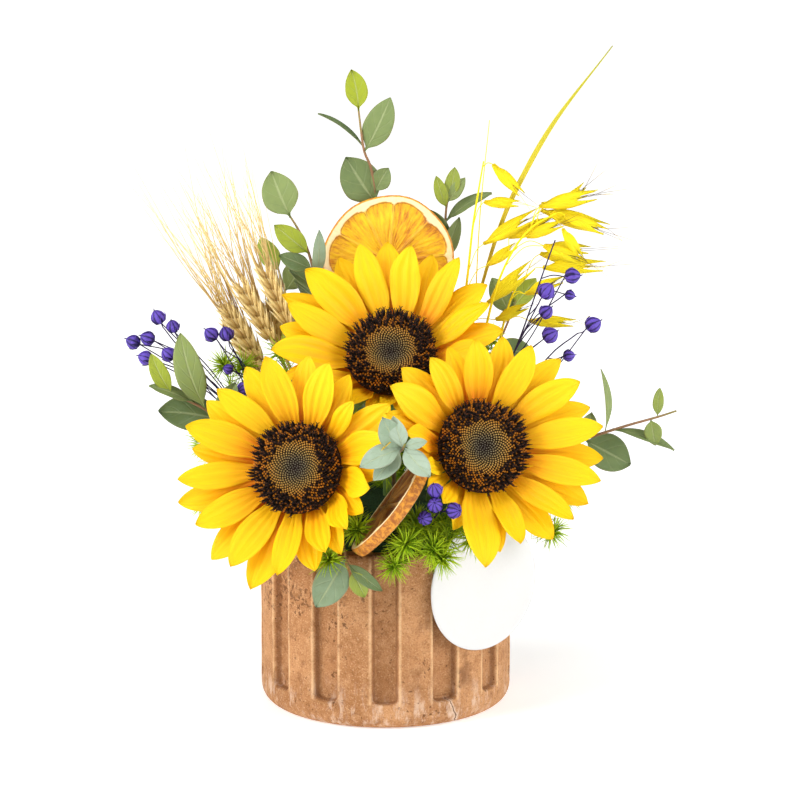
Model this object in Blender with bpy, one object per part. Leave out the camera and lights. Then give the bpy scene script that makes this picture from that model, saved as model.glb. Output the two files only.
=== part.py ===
# Sunflower arrangement in a fluted pot: three sunflowers, dried orange slices, eucalyptus,
# bearded wheat, dyed oats, dyed flax, plumy fern and a blank round card, all held in foam.
# The origin is the middle of the pot's base, +Z is up and -Y is the side that the flowers face.

import math

import bmesh
import bpy
from mathutils import Matrix, Vector

MM = 0.001
GAP = 0.3 * MM  # clearance between pieces that touch

# Pot
POT_RADIUS = 60 * MM
POT_HEIGHT = 83 * MM
POT_WALL = 9 * MM
POT_FLOOR = 10 * MM
POT_FOOT_RADIUS = 6 * MM
FLUTE_COUNT = 13
FLUTE_DEPTH = 3.6 * MM
FLUTE_FLOOR_WIDTH = 9 * MM
FLUTE_MOUTH_WIDTH = 13.5 * MM
FLUTE_START = 12.5 * MM

# Liner and foam
LINER_THICKNESS = 0.6 * MM
LINER_BELOW_RIM = 4 * MM
FOAM_ABOVE_RIM = 17 * MM
FOAM_SHOULDER_ABOVE_RIM = 4 * MM
STEM_DEPTH_IN_FOAM = 24 * MM

# Sunflower heads
DISC_RADIUS = 21.5 * MM
DISC_RISE = 4.5 * MM
RAY_COUNT = 26
RAY_THICKNESS = 0.8 * MM
RAY_WIDTH_SHARE = 0.35
INNER_RAY_LIFT = 11
BRACT_COUNT = 10
FLOWER_STEM_RADIUS = 3.2 * MM
FLOWER_STEM_DEPTH = 46 * MM

# Dried orange slices
TOP_SLICE_RADIUS = 31.5 * MM
TOP_SLICE_THICKNESS = 4 * MM
FRONT_SLICE_RADIUS = 26 * MM
FRONT_SLICE_THICKNESS = 5 * MM
PICK_RADIUS = 1.1 * MM

# Card
CARD_RADIUS = 31 * MM
CARD_THICKNESS = 0.8 * MM
CARD_HOLE_RADIUS = 3.4 * MM
PEG_RADIUS = 1.5 * MM

# Fillers
EUCALYPTUS_STEM_RADIUS = 1.1 * MM
LEAF_THICKNESS = 0.9 * MM
WHEAT_STEM_RADIUS = 1.0 * MM
WHEAT_EAR_RADIUS = 4.2 * MM
OAT_STEM_RADIUS = 0.8 * MM
OAT_SPIKELET_RADIUS = 2.3 * MM
FLAX_STEM_RADIUS = 0.6 * MM
FLAX_POD_RADIUS = 3.5 * MM
FERN_STEM_RADIUS = 0.9 * MM

# The size of pot and of disc that the arrangement's points and petal lengths are given for.
ARRANGED_RADIUS = 60 * MM
ARRANGED_HEIGHT = 83 * MM
ARRANGED_DISC = 21.5 * MM

SPREAD = POT_RADIUS / ARRANGED_RADIUS
FOAM_TOP_RADIUS = SPREAD * 31 * MM
FOAM_TOP = POT_HEIGHT + FOAM_ABOVE_RIM
FOAM_SHOULDER = POT_HEIGHT + FOAM_SHOULDER_ABOVE_RIM
LINER_RADIUS = POT_RADIUS - POT_WALL - GAP
FOAM_RADIUS = LINER_RADIUS - LINER_THICKNESS - GAP

FRONT = Vector((0, -1, 0))
UP = Vector((0, 0, 1))

stem_cutters = []


# ---- general helpers


def clear_scene():
    for obj in list(bpy.data.objects):
        bpy.data.objects.remove(obj, do_unlink=True)


def point(x, y, z):
    """A place in the arrangement, which spreads with the pot's radius and rises with its rim."""
    rise = POT_HEIGHT - ARRANGED_HEIGHT
    return Vector((x * SPREAD, y * SPREAD, z)) * MM + UP * rise


def material(name, color, roughness=0.6, metallic=0.0):
    found = bpy.data.materials.get(name)
    if found:
        return found
    made = bpy.data.materials.new(name)
    made.use_nodes = True
    shader = made.node_tree.nodes["Principled BSDF"]
    shader.inputs["Base Color"].default_value = (*color, 1)
    shader.inputs["Roughness"].default_value = roughness
    shader.inputs["Metallic"].default_value = metallic
    made.diffuse_color = (*color, 1)
    return made


def finish_object(name, bm, made_of, sharp_degrees=50):
    mesh = bpy.data.meshes.new(name)
    bm.to_mesh(mesh)
    bm.free()
    mesh.shade_smooth()
    mesh.set_sharp_from_angle(angle=math.radians(sharp_degrees))
    mesh.materials.append(made_of)
    obj = bpy.data.objects.new(name, mesh)
    bpy.context.scene.collection.objects.link(obj)
    return obj


def smooth_curve(points, steps):
    """Points of a Catmull-Rom curve through the given ones, with some steps in each span."""
    ends = [points[0] * 2 - points[1], *points, points[-1] * 2 - points[-2]]
    curve = []
    for before, start, end, after in zip(ends, ends[1:], ends[2:], ends[3:]):
        for step in range(steps):
            t = step / steps
            curve.append(
                (
                    start * 2
                    + (end - before) * t
                    + (before * 2 - start * 5 + end * 4 - after) * t**2
                    + (start * 3 - before - end * 3 + after) * t**3
                )
                / 2
            )
    curve.append(points[-1].copy())
    return curve


def tangents(points):
    found = []
    for i in range(len(points)):
        ahead = points[min(i + 1, len(points) - 1)]
        behind = points[max(i - 1, 0)]
        found.append((ahead - behind).normalized())
    return found


def side_face(bm, *corners):
    face = bm.faces.new(corners)
    face.normal_update()
    return face


def join_rings(bm, lower, upper):
    """Side faces from one ring of vertices to the next, where both turn the same way."""
    count = len(lower)
    return [
        side_face(bm, lower[i], lower[(i + 1) % count], upper[(i + 1) % count], upper[i])
        for i in range(count)
    ]


def add_tube(bm, centres, radii, sides):
    """A closed tube along the centres. Returns its side faces, one list for each span."""
    along = tangents(centres)
    across = along[0].orthogonal().normalized()
    previous = None
    spans = []
    for centre, direction, radius in zip(centres, along, radii):
        across = (across - direction * across.dot(direction)).normalized()
        third = direction.cross(across)
        ring = []
        for side in range(sides):
            turn = math.tau * side / sides
            spoke = across * math.cos(turn) + third * math.sin(turn)
            ring.append(bm.verts.new(centre + spoke * radius))
        if previous is None:
            bm.faces.new(reversed(ring))
        else:
            spans.append(join_rings(bm, previous, ring))
        previous = ring
    bm.faces.new(previous)
    return spans


def open_side(bm, faces, direction):
    """Takes away the face that looks most along the direction and returns its corners."""
    free = [face for face in faces if face.is_valid]
    face = max(free, key=lambda f: f.normal.dot(direction))
    corners = list(face.verts)
    bmesh.ops.delete(bm, geom=[face], context="FACES_ONLY")
    return corners


def best_turn(lower, upper_points):
    """The ring order that twists least against the lower ring."""
    share = len(upper_points) // len(lower)

    def twist(turn):
        turned = upper_points[turn:] + upper_points[:turn]
        return sum((vert.co - turned[i * share]).length for i, vert in enumerate(lower))

    best = min(range(len(upper_points)), key=twist)
    return upper_points[best:] + upper_points[:best]


def grow(bm, corners, sections, tip=None):
    """Skins ring after ring on an open loop of corners, then closes it flat or at a tip."""
    lower = corners
    for section in sections:
        upper = [bm.verts.new(p) for p in best_turn(lower, section)]
        count = len(lower)
        if len(upper) == count:
            join_rings(bm, lower, upper)
        else:
            for i in range(count):
                start, end = lower[i], lower[(i + 1) % count]
                first, middle = upper[2 * i], upper[2 * i + 1]
                last = upper[(2 * i + 2) % len(upper)]
                side_face(bm, start, middle, first)
                side_face(bm, start, end, middle)
                side_face(bm, end, last, middle)
        lower = upper
    if tip is None:
        bm.faces.new(lower)
        return
    end = bm.verts.new(tip)
    for i, vert in enumerate(lower):
        side_face(bm, vert, lower[(i + 1) % len(lower)], end)


def round_section(centre, direction, radius, count):
    across = direction.orthogonal().normalized()
    third = direction.cross(across)
    ring = []
    for i in range(count):
        turn = math.tau * i / count
        ring.append(centre + (across * math.cos(turn) + third * math.sin(turn)) * radius)
    return ring


def blade_section(centre, direction, facing, half_width, half_thickness, fold=0.0):
    """Four corners of a thin leaf: its edges, lifted by the fold, and its two faces."""
    normal = (facing - direction * facing.dot(direction)).normalized()
    side = normal.cross(direction)
    edge_lift = normal * fold
    return [
        centre + side * half_width + edge_lift,
        centre + normal * half_thickness,
        centre - side * half_width + edge_lift,
        centre - normal * half_thickness,
    ]


def turned_body(bm, profile, sides, place):
    """A solid of revolution. The profile runs from the low axis point to the high one."""
    rings = []
    for radius, height in profile[1:-1]:
        ring = []
        for side in range(sides):
            turn = math.tau * side / sides
            spot = Vector((radius * math.cos(turn), radius * math.sin(turn), height))
            ring.append(bm.verts.new(place @ spot))
        rings.append(ring)
    low = bm.verts.new(place @ Vector((0, 0, profile[0][1])))
    high = bm.verts.new(place @ Vector((0, 0, profile[-1][1])))
    spans = [join_rings(bm, a, b) for a, b in zip(rings, rings[1:])]
    for i in range(sides):
        j = (i + 1) % sides
        side_face(bm, rings[0][j], rings[0][i], low)
        side_face(bm, rings[-1][i], rings[-1][j], high)
    return spans


def nearest_span(centres, spot):
    middles = [(a + b) / 2 for a, b in zip(centres, centres[1:])]
    return min(range(len(middles)), key=lambda i: (middles[i] - spot).length)


# ---- pot, liner and foam


def flute_share(turn, height):
    """0 on a ridge and 1 on the floor of a flute."""
    if height < FLUTE_START:
        return 0.0
    pitch = math.tau / FLUTE_COUNT
    from_middle = abs((turn + pitch / 2) % pitch - pitch / 2) * POT_RADIUS
    floor, mouth = FLUTE_FLOOR_WIDTH / 2, FLUTE_MOUTH_WIDTH / 2
    return min(1.0, max(0.0, (mouth - from_middle) / (mouth - floor)))


def build_pot():
    pitch = math.tau / FLUTE_COUNT
    floor = FLUTE_FLOOR_WIDTH / 2 / POT_RADIUS
    mouth = FLUTE_MOUTH_WIDTH / 2 / POT_RADIUS
    turns = []
    for flute in range(FLUTE_COUNT):
        for offset in (-mouth, -floor, 0, floor, mouth, pitch / 2):
            turns.append(flute * pitch + offset)
    foot = POT_FOOT_RADIUS
    inside = POT_RADIUS - POT_WALL
    rings = [
        (POT_RADIUS - foot, 0, 0),
        (POT_RADIUS - foot * 0.45, foot * 0.16, 0),
        (POT_RADIUS - foot * 0.12, foot * 0.55, 0),
        (POT_RADIUS, foot * 1.2, 0),
        (POT_RADIUS, FLUTE_START, 0),
        (POT_RADIUS, FLUTE_START + FLUTE_DEPTH * 0.6, 1),
        (POT_RADIUS, POT_HEIGHT - 1.2 * MM, 1),
        (POT_RADIUS - 1.2 * MM, POT_HEIGHT, 0.85),
        (inside + 1 * MM, POT_HEIGHT, 0),
        (inside, POT_HEIGHT - 1 * MM, 0),
        (inside, POT_FLOOR, 0),
    ]
    bm = bmesh.new()
    made = []
    for radius, height, fluted in rings:
        ring = []
        for turn in turns:
            reach = radius - FLUTE_DEPTH * fluted * flute_share(turn, POT_HEIGHT)
            # turn 0 is the front
            ring.append(bm.verts.new((reach * math.sin(turn), -reach * math.cos(turn), height)))
        made.append(ring)
    for lower, upper in zip(made, made[1:]):
        join_rings(bm, lower, upper)
    under = bm.verts.new((0, 0, 0))
    well = bm.verts.new((0, 0, POT_FLOOR))
    for i in range(len(turns)):
        j = (i + 1) % len(turns)
        side_face(bm, made[0][j], made[0][i], under)
        side_face(bm, made[-1][i], made[-1][j], well)
    clay = material("fluted_clay", (0.42, 0.21, 0.10), 0.85)
    return finish_object("pot", bm, clay, 40)


def build_liner():
    inner = LINER_RADIUS - LINER_THICKNESS
    top = POT_HEIGHT - LINER_BELOW_RIM
    bottom = POT_FLOOR + GAP
    profile = [
        (0, bottom),
        (LINER_RADIUS, bottom),
        (LINER_RADIUS, top),
        (inner, top),
        (inner, bottom + LINER_THICKNESS),
        (0, bottom + LINER_THICKNESS),
    ]
    bm = bmesh.new()
    turned_body(bm, profile, 32, Matrix())
    finish_object("pot_liner", bm, material("dark_film", (0.02, 0.03, 0.02), 0.35))


def build_foam():
    bottom = POT_FLOOR + 2 * GAP + LINER_THICKNESS
    profile = [
        (0, bottom),
        (FOAM_RADIUS, bottom),
        (FOAM_RADIUS, FOAM_SHOULDER),
        (FOAM_TOP_RADIUS, FOAM_TOP),
        (0, FOAM_TOP),
    ]
    bm = bmesh.new()
    turned_body(bm, profile, 40, Matrix())
    foam = finish_object("floral_foam", bm, material("wet_foam", (0.02, 0.06, 0.03), 0.95))

    holes = bmesh.new()
    for centres, radius, sides in stem_cutters:
        add_tube(holes, centres, [radius + GAP] * len(centres), sides)
    mesh = bpy.data.meshes.new("stem_holes")
    holes.to_mesh(mesh)
    holes.free()
    cutter = bpy.data.objects.new("stem_holes", mesh)
    bpy.context.scene.collection.objects.link(cutter)
    cutter.hide_render = True
    cutter.display_type = "WIRE"
    cut = foam.modifiers.new("stem_holes", "BOOLEAN")
    cut.operation = "DIFFERENCE"
    cut.object = cutter
    cut.use_self = True


def foam_height(x, y):
    """How high the foam stands at this place."""
    reach = math.hypot(x, y)
    if reach <= FOAM_TOP_RADIUS:
        return FOAM_TOP
    share = (reach - FOAM_TOP_RADIUS) / (FOAM_RADIUS - FOAM_TOP_RADIUS)
    return FOAM_TOP + (FOAM_SHOULDER - FOAM_TOP) * share


def rooted(x, y, points, radius, depth=STEM_DEPTH_IN_FOAM, sides=6):
    """A stem's route: a straight root in the foam, where it leaves the foam, and its points."""
    leaving = point(x, y, 0)
    leaving.z = foam_height(leaving.x, leaving.y)
    first = points[0] - leaving
    lean = Vector((first.x, first.y, 0)) * 0.35 / max(first.length, 0.02)
    root = leaving - (lean * 0.6 + UP) * depth
    above = leaving + (leaving - root).normalized() * 3 * MM
    stem_cutters.append(([root - (above - root).normalized() * GAP, above], radius, sides))
    return [root, above, *points]


# ---- sunflowers


def head_frame(centre, azimuth, elevation):
    """Matrix whose Z looks out of the flower's face and whose Y is its top."""
    turn, rise = math.radians(azimuth), math.radians(elevation)
    normal = Vector((math.sin(turn), -math.cos(turn), math.tan(rise))).normalized()
    top = (UP - normal * UP.dot(normal)).normalized()
    right = top.cross(normal)
    frame = Matrix((right, top, normal)).transposed().to_4x4()
    return Matrix.Translation(centre) @ frame


def build_disc(name, frame):
    hub = DISC_RADIUS * 0.76
    rim = DISC_RADIUS
    profile = [
        (0, -4.1 * MM),
        (hub, -4.1 * MM),
        (hub, -1.9 * MM),
        (rim * 0.93, -1.6 * MM),
        (rim, 0.4 * MM),
        (rim * 0.86, DISC_RISE * 0.8),
        (rim * 0.62, DISC_RISE),
        (rim * 0.3, DISC_RISE * 0.7),
        (0, DISC_RISE * 0.5),
    ]
    bm = bmesh.new()
    turned_body(bm, profile, 20, frame)
    finish_object(name, bm, material("disc_florets", (0.03, 0.012, 0.006), 0.9))


def ray_sections(frame, base_clock, tip_clock, length, lift, level):
    """Sections of one petal, from just outside its band to near its tip, and the tip."""
    width = length * RAY_WIDTH_SHARE
    stations = [(0.1, 0.46), (0.34, 0.9), (0.62, 1.0), (0.87, 0.58)]
    steps = 20
    reach, height = DISC_RADIUS * 0.97, level
    track = []
    for step in range(steps + 1):
        share = step / steps
        rise = math.radians(lift * min(1, 0.45 + 1.7 * share) + 10 - 22 * share)
        clock = math.radians(base_clock + (tip_clock - base_clock) * min(1, share * 1.6))
        spoke = Vector((math.sin(clock), math.cos(clock), 0))
        track.append((spoke * reach + Vector((0, 0, height)), rise, spoke))
        reach += length / steps * math.cos(rise)
        height += length / steps * math.sin(rise)
    sections = []
    for share, breadth in stations:
        spot, rise, spoke = track[round(share * steps)]
        direction = spoke * math.cos(rise) + Vector((0, 0, math.sin(rise)))
        facing = Vector((0, 0, math.cos(rise))) - spoke * math.sin(rise)
        half = width / 2 * breadth
        corners = blade_section(spot, direction, facing, half, RAY_THICKNESS / 2, half * 0.12)
        sections.append([frame @ corner for corner in corners])
    return sections, frame @ track[-1][0]


def build_rays(name, frame, rays, first_clock, level, parity, extra_lift):
    """One whorl: a band around the disc's hub with every second ray of the flower on it."""
    places = RAY_COUNT
    inner, outer = DISC_RADIUS * 0.76 + GAP, DISC_RADIUS * 0.93
    low, high = level - RAY_THICKNESS / 2, level + RAY_THICKNESS / 2
    bm = bmesh.new()
    rings = []
    for radius, height in ((outer, low), (outer, high), (inner, high), (inner, low)):
        ring = []
        for place in range(places):
            # each ray sits on the span between two neighbouring vertices
            clock = math.radians(first_clock + (place - 0.5) * 360 / places)
            spot = Vector((math.sin(clock) * radius, math.cos(clock) * radius, height))
            ring.append(bm.verts.new(frame @ spot))
        rings.append(ring[::-1])
    rings.append(rings[0])
    spans = [join_rings(bm, a, b) for a, b in zip(rings, rings[1:])]
    for place in range(parity, places, 2):
        clock, length, lift = rays[place]
        # a wider disc leaves shorter rays, so that the flower keeps its spread
        length = length * MM - (DISC_RADIUS - ARRANGED_DISC)
        base = first_clock + place * 360 / places
        swing = (clock - base + 180) % 360 - 180
        sections, tip = ray_sections(
            frame, base, base + swing, length, lift + extra_lift, level
        )
        outward = math.radians(base)
        spoke = frame.to_3x3() @ Vector((math.sin(outward), math.cos(outward), 0))
        corners = open_side(bm, spans[0], spoke)
        grow(bm, corners, sections, tip)
    finish_object(name, bm, material("ray_petals", (0.95, 0.62, 0.01), 0.5))


def build_bracts(name, frame):
    """The green cup behind the rays, with its ring of pointed bracts and the stem's collar."""
    plate = DISC_RADIUS * 0.8
    # the tips keep their place when the disc grows
    bract = 10.5 * MM - (DISC_RADIUS - ARRANGED_DISC) * 0.8
    profile = [
        (0, -12 * MM),
        (FLOWER_STEM_RADIUS * 1.15, -12 * MM),
        (plate * 0.72, -7.5 * MM),
        (plate, -5.9 * MM),
        (plate, -4.4 * MM),
        (0, -4.4 * MM),
    ]
    bm = bmesh.new()
    spans = turned_body(bm, profile, BRACT_COUNT * 2, frame)
    turn_only = frame.to_3x3()
    for place in range(BRACT_COUNT):
        turn = math.tau * (place * 2 + 0.5) / (BRACT_COUNT * 2)
        spoke = Vector((math.cos(turn), math.sin(turn), 0))
        corners = open_side(bm, spans[2], turn_only @ spoke)
        sections = []
        for share, height, half in ((0.24, -5.9, 2.8), (0.62, -5.6, 2.0)):
            spot = spoke * (plate + bract * share) + Vector((0, 0, height * MM))
            facing = Vector((0, 0, 1))
            flat = blade_section(spot, spoke, facing, half * MM, 0.45 * MM)
            sections.append([frame @ corner for corner in flat])
        tip = frame @ (spoke * (plate + bract) + Vector((0, 0, -5.2 * MM)))
        grow(bm, corners, sections, tip)
    finish_object(name, bm, material("green_bracts", (0.16, 0.30, 0.06), 0.65))


def build_flower_stem(name, frame, leaving, bends):
    behind = [frame @ Vector((0, 0, height * MM)) for height in (-22, -16, -12.6)]
    route = rooted(*leaving, [*bends, *behind], FLOWER_STEM_RADIUS, FLOWER_STEM_DEPTH, 8)
    centres = [route[0], *smooth_curve(route[1:], 2)]
    bm = bmesh.new()
    add_tube(bm, centres, [FLOWER_STEM_RADIUS] * len(centres), 8)
    finish_object(name, bm, material("flower_stem", (0.14, 0.27, 0.06), 0.6))


# Each ray of a flower: where its tip points, as degrees on a clock face, its length in
# millimetres and how far it rises from the disc's plane, in degrees.
TOP_RAYS = [
    (357, 36, 20), (8, 34, 22), (23, 33, 20), (38, 37, 22), (52, 36, 20), (66, 34, 24),
    (80, 35, 24), (94, 31, 32), (108, 26, 38), (124, 24, 46), (140, 24, 48), (154, 23, 50),
    (168, 21, 48), (180, 20, 48), (193, 22, 48), (208, 25, 46), (224, 27, 40), (238, 31, 34),
    (250, 33, 28), (265, 39, 24), (279, 34, 22), (289, 35, 22), (300, 39, 20), (315, 38, 22),
    (330, 34, 20), (343, 36, 22),
]
LEFT_RAYS = [
    (2, 32, 20), (15, 33, 22), (28, 31, 26), (42, 25, 34), (58, 36, 28), (74, 36, 34),
    (88, 32, 40), (102, 31, 46), (117, 28, 46), (132, 30, 42), (143, 30, 34), (155, 29, 30),
    (166, 31, 24), (178, 34, 22), (192, 40, 18), (207, 36, 20), (218, 37, 18), (232, 34, 20),
    (247, 37, 18), (260, 36, 20), (276, 30, 22), (289, 36, 20), (300, 33, 20), (314, 33, 22),
    (330, 33, 20), (344, 35, 22),
]
RIGHT_RAYS = [
    (346, 29, 22), (0, 31, 22), (18, 32, 20), (30, 33, 22), (42, 35, 20), (56, 35, 20),
    (70, 34, 20), (84, 37, 20), (99, 36, 18), (111, 37, 20), (120, 35, 18), (136, 34, 20),
    (149, 33, 20), (166, 31, 24), (180, 30, 26), (190, 40, 22), (206, 24, 34), (222, 22, 44),
    (238, 20, 48), (252, 20, 52), (266, 22, 50), (280, 28, 42), (288, 34, 34), (303, 38, 28),
    (316, 34, 24), (332, 31, 24),
]


def build_sunflower(name, centre, azimuth, elevation, rays, first_clock, leaving, bends):
    frame = head_frame(centre, azimuth, elevation)
    build_disc(name + "_disc", frame)
    build_rays(name + "_inner_rays", frame, rays, first_clock, -2.5 * MM, 1, INNER_RAY_LIFT)
    build_rays(name + "_outer_rays", frame, rays, first_clock, -3.7 * MM, 0, 0)
    build_bracts(name + "_bracts", frame)
    build_flower_stem(name + "_stem", frame, leaving, bends)


# ---- dried orange slices and their picks


def build_slice(name, centre, normal, radius, thickness):
    """A thin wheel with a small star-shaped hole at its middle."""
    face = normal.normalized()
    side = face.orthogonal().normalized()
    frame = Matrix((side, face.cross(side), face)).transposed().to_4x4()
    frame = Matrix.Translation(centre) @ frame
    sides = 24
    half = thickness / 2
    bm = bmesh.new()
    rings = []
    outline = [
        (1, -0.45), (1, 0.45), (0.95, 0.9), (0.07, 0.6), (0.07, -0.6), (0.95, -0.9),
    ]
    for reach, level in outline:
        ring = []
        for i in range(sides):
            turn = math.tau * i / sides
            hole = 1 + 0.25 * math.cos(5 * turn) if reach < 0.1 else 1
            spot = Vector((math.cos(turn), math.sin(turn), 0)) * radius * reach * hole
            ring.append(bm.verts.new(frame @ (spot + Vector((0, 0, half * level)))))
        rings.append(ring)
    for a, b in zip(rings, rings[1:] + rings[:1]):
        join_rings(bm, a, b)
    finish_object(name, bm, material("dried_orange", (0.85, 0.42, 0.05), 0.55))
    return frame


def build_pick(name, leaving, top):
    route = rooted(*leaving, [top], PICK_RADIUS)
    bm = bmesh.new()
    add_tube(bm, [route[0], route[1], route[2]], [PICK_RADIUS * 0.6, PICK_RADIUS, PICK_RADIUS], 6)
    finish_object(name, bm, material("bamboo", (0.55, 0.36, 0.16), 0.6))


def build_orange_slices():
    centre = point(1.6, 17, 208)
    normal = Vector((0.05, -1, 0.2))
    frame = build_slice("orange_slice_top", centre, normal, TOP_SLICE_RADIUS, TOP_SLICE_THICKNESS)
    behind = TOP_SLICE_THICKNESS * 0.45 + GAP + PICK_RADIUS * 1.2
    build_pick("orange_pick_top", (2, 16), frame @ Vector((0, 0, -behind)) - UP * 4 * MM)

    # it leans away from the flower beside it when the discs grow
    clear = (DISC_RADIUS - ARRANGED_DISC) * 0.5
    centre = point(3, -62, 106) - Vector((clear, 0, 0))
    normal = Vector((-0.775, -0.05, 0.63))
    build_slice("orange_slice_front", centre, normal, FRONT_SLICE_RADIUS, FRONT_SLICE_THICKNESS)
    normal.normalize()
    under = FRONT_SLICE_THICKNESS * 0.45 + GAP + PICK_RADIUS * 1.4
    build_pick("orange_pick_front", (11, -34), centre - normal * under - FRONT * 7 * MM)


# ---- blank round card and its peg


def build_card():
    azimuth = math.radians(37)
    normal = Vector((math.sin(azimuth), -math.cos(azimuth), 0))
    side = UP.cross(normal)
    centre = normal * (POT_RADIUS + GAP + CARD_THICKNESS / 2) + side * 11.5 * MM
    centre += UP * (POT_HEIGHT - 18 * MM)
    frame = Matrix((side, UP, normal)).transposed().to_4x4()
    frame = Matrix.Translation(centre) @ frame
    hole = Vector((0, CARD_RADIUS - 6.5 * MM, 0))
    sides = 28
    half = CARD_THICKNESS / 2
    bm = bmesh.new()
    rings = []
    for is_hole, level in ((False, -half), (False, half), (True, half), (True, -half)):
        ring = []
        for i in range(sides):
            turn = math.tau * i / sides
            spoke = Vector((math.cos(turn), math.sin(turn), 0))
            spot = hole + spoke * CARD_HOLE_RADIUS if is_hole else spoke * CARD_RADIUS
            ring.append(bm.verts.new(frame @ (spot + Vector((0, 0, level)))))
        rings.append(ring)
    for a, b in zip(rings, rings[1:] + rings[:1]):
        join_rings(bm, a, b)
    finish_object("round_card", bm, material("white_card", (0.9, 0.9, 0.88), 0.5))

    head = frame @ (hole + Vector((0, 0, 2 * MM)))
    neck = frame @ (hole + Vector((0, 0, -2 * MM)))
    inward = (neck - head).normalized() * 17 * MM - UP * 4 * MM
    end = neck + inward * 1.7
    stem_cutters.append(([neck, end + inward.normalized() * GAP], PEG_RADIUS, 8))
    bm = bmesh.new()
    thick = CARD_HOLE_RADIUS - GAP
    radii = [thick, thick, PEG_RADIUS, PEG_RADIUS * 0.7]
    add_tube(bm, [head, neck, neck + inward * 0.3, end], radii, 8)
    finish_object("card_peg", bm, material("dark_wood", (0.10, 0.05, 0.03), 0.7))


# ---- leafy and seedy fillers


def build_eucalyptus(name, leaving, bends, leaves):
    """A stem with leaves. A leaf is its foot, its tip, its width and which way it faces."""
    route = rooted(*leaving, [point(*bend) for bend in bends], EUCALYPTUS_STEM_RADIUS)
    centres = [route[0], *smooth_curve(route[1:], 2)]
    count = len(centres)
    radii = [EUCALYPTUS_STEM_RADIUS * (1 - 0.5 * i / count) for i in range(count)]
    bm = bmesh.new()
    spans = add_tube(bm, centres, radii, 6)
    for foot, tip, width, facing in leaves:
        span = nearest_span(centres, point(*foot))
        base = (centres[span] + centres[span + 1]) / 2
        end = point(*tip)
        direction = (end - base).normalized()
        facing = Vector(facing).normalized()
        normal = (facing - direction * facing.dot(direction)).normalized()
        length = (end - base).length
        corners = open_side(bm, spans[span], direction)
        sections = []
        for share, breadth in ((0.16, 0.12), (0.36, 0.82), (0.6, 1.0), (0.84, 0.62)):
            half = width * MM / 2 * breadth
            bend = normal * length * 0.06 * math.sin(math.pi * share)
            spot = base + direction * length * share + bend
            thin = LEAF_THICKNESS / 2 * (1 - 0.3 * share)
            sections.append(blade_section(spot, direction, normal, half, thin, half * 0.15))
        grow(bm, corners, sections, end)
    finish_object(name, bm, material("eucalyptus", (0.22, 0.33, 0.20), 0.55))


def build_wheat(name, leaving, bends, ear_tip, awn_tips):
    """A straw with an ear at its end, and long awns that leave the ear near its tip."""
    ear_foot = point(*bends[-1])
    tip = point(*ear_tip)
    route = rooted(*leaving, [point(*bend) for bend in bends], WHEAT_STEM_RADIUS)
    straw = [route[0], *smooth_curve(route[1:], 2)]
    axis = tip - ear_foot
    ear = [(0.1, 0.6), (0.25, 0.9), (0.5, 1.0), (0.75, 0.85), (0.93, 0.45), (1, 0.15)]
    centres = straw + [ear_foot + axis * share for share, _ in ear]
    radii = [WHEAT_STEM_RADIUS] * len(straw) + [WHEAT_EAR_RADIUS * size for _, size in ear]
    bm = bmesh.new()
    spans = add_tube(bm, centres, radii, 6)
    for place, awn in enumerate(awn_tips):
        end = point(*awn)
        span = spans[-2 - place % 3]
        base = tip - axis * 0.1
        direction = (end - base).normalized()
        corners = open_side(bm, span, direction)
        foot = sum((corner.co for corner in corners), Vector()) / 4
        sections = [
            round_section(foot.lerp(end, share), direction, radius * MM, 4)
            for share, radius in ((0.12, 0.7), (0.5, 0.5))
        ]
        grow(bm, corners, sections, end)
    finish_object(name, bm, material("dried_wheat", (0.62, 0.44, 0.20), 0.7))


def build_oats(name, leaving, bends, spikelets):
    """A stalk with spikelets. A spikelet is its foot on the stalk, its own start and its tip."""
    route = rooted(*leaving, [point(*bend) for bend in bends], OAT_STEM_RADIUS)
    centres = [route[0], *smooth_curve(route[1:], 2)]
    count = len(centres)
    radii = [OAT_STEM_RADIUS * (1 - 0.45 * i / count) for i in range(count)]
    bm = bmesh.new()
    spans = add_tube(bm, centres, radii, 6)
    for foot, start, tip in spikelets:
        span = nearest_span(centres, point(*foot))
        base = (centres[span] + centres[span + 1]) / 2
        begin, end = point(*start), point(*tip)
        corners = open_side(bm, spans[span], (begin - base).normalized())
        thread = 0.35 * MM
        sections = [round_section(base.lerp(begin, 0.5), (begin - base).normalized(), thread, 4)]
        axis = (end - begin).normalized()
        for share, size in ((0.02, 0.25), (0.3, 1.0), (0.62, 0.75)):
            spot = begin.lerp(end, share)
            sections.append(round_section(spot, axis, OAT_SPIKELET_RADIUS * size, 4))
        grow(bm, corners, sections, end)
    finish_object(name, bm, material("yellow_oats", (0.85, 0.72, 0.05), 0.6))


def build_blade(name, leaving, bends, width, thickness):
    """A tall narrow grass blade."""
    route = rooted(*leaving, [point(*bend) for bend in bends], OAT_STEM_RADIUS)
    centres = [route[0], *smooth_curve(route[1:], 2)]
    bm = bmesh.new()
    spans = add_tube(bm, centres[:2], [OAT_STEM_RADIUS] * 2, 4)
    bm.normal_update()
    caps = [face for face in bm.faces if face not in spans[0]]
    corners = open_side(bm, caps, centres[1] - centres[0])
    sections = []
    rest = centres[2:]
    for i, (centre, direction) in enumerate(zip(rest[:-1], tangents(rest))):
        taper = 1 - 0.75 * (i / len(rest)) ** 2
        sections.append(
            blade_section(
                centre, direction, FRONT, width / 2 * taper * MM, thickness / 2 * taper * MM
            )
        )
    grow(bm, corners, sections, rest[-1])
    finish_object(name, bm, material("yellow_oats", (0.85, 0.72, 0.05), 0.6))


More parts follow.
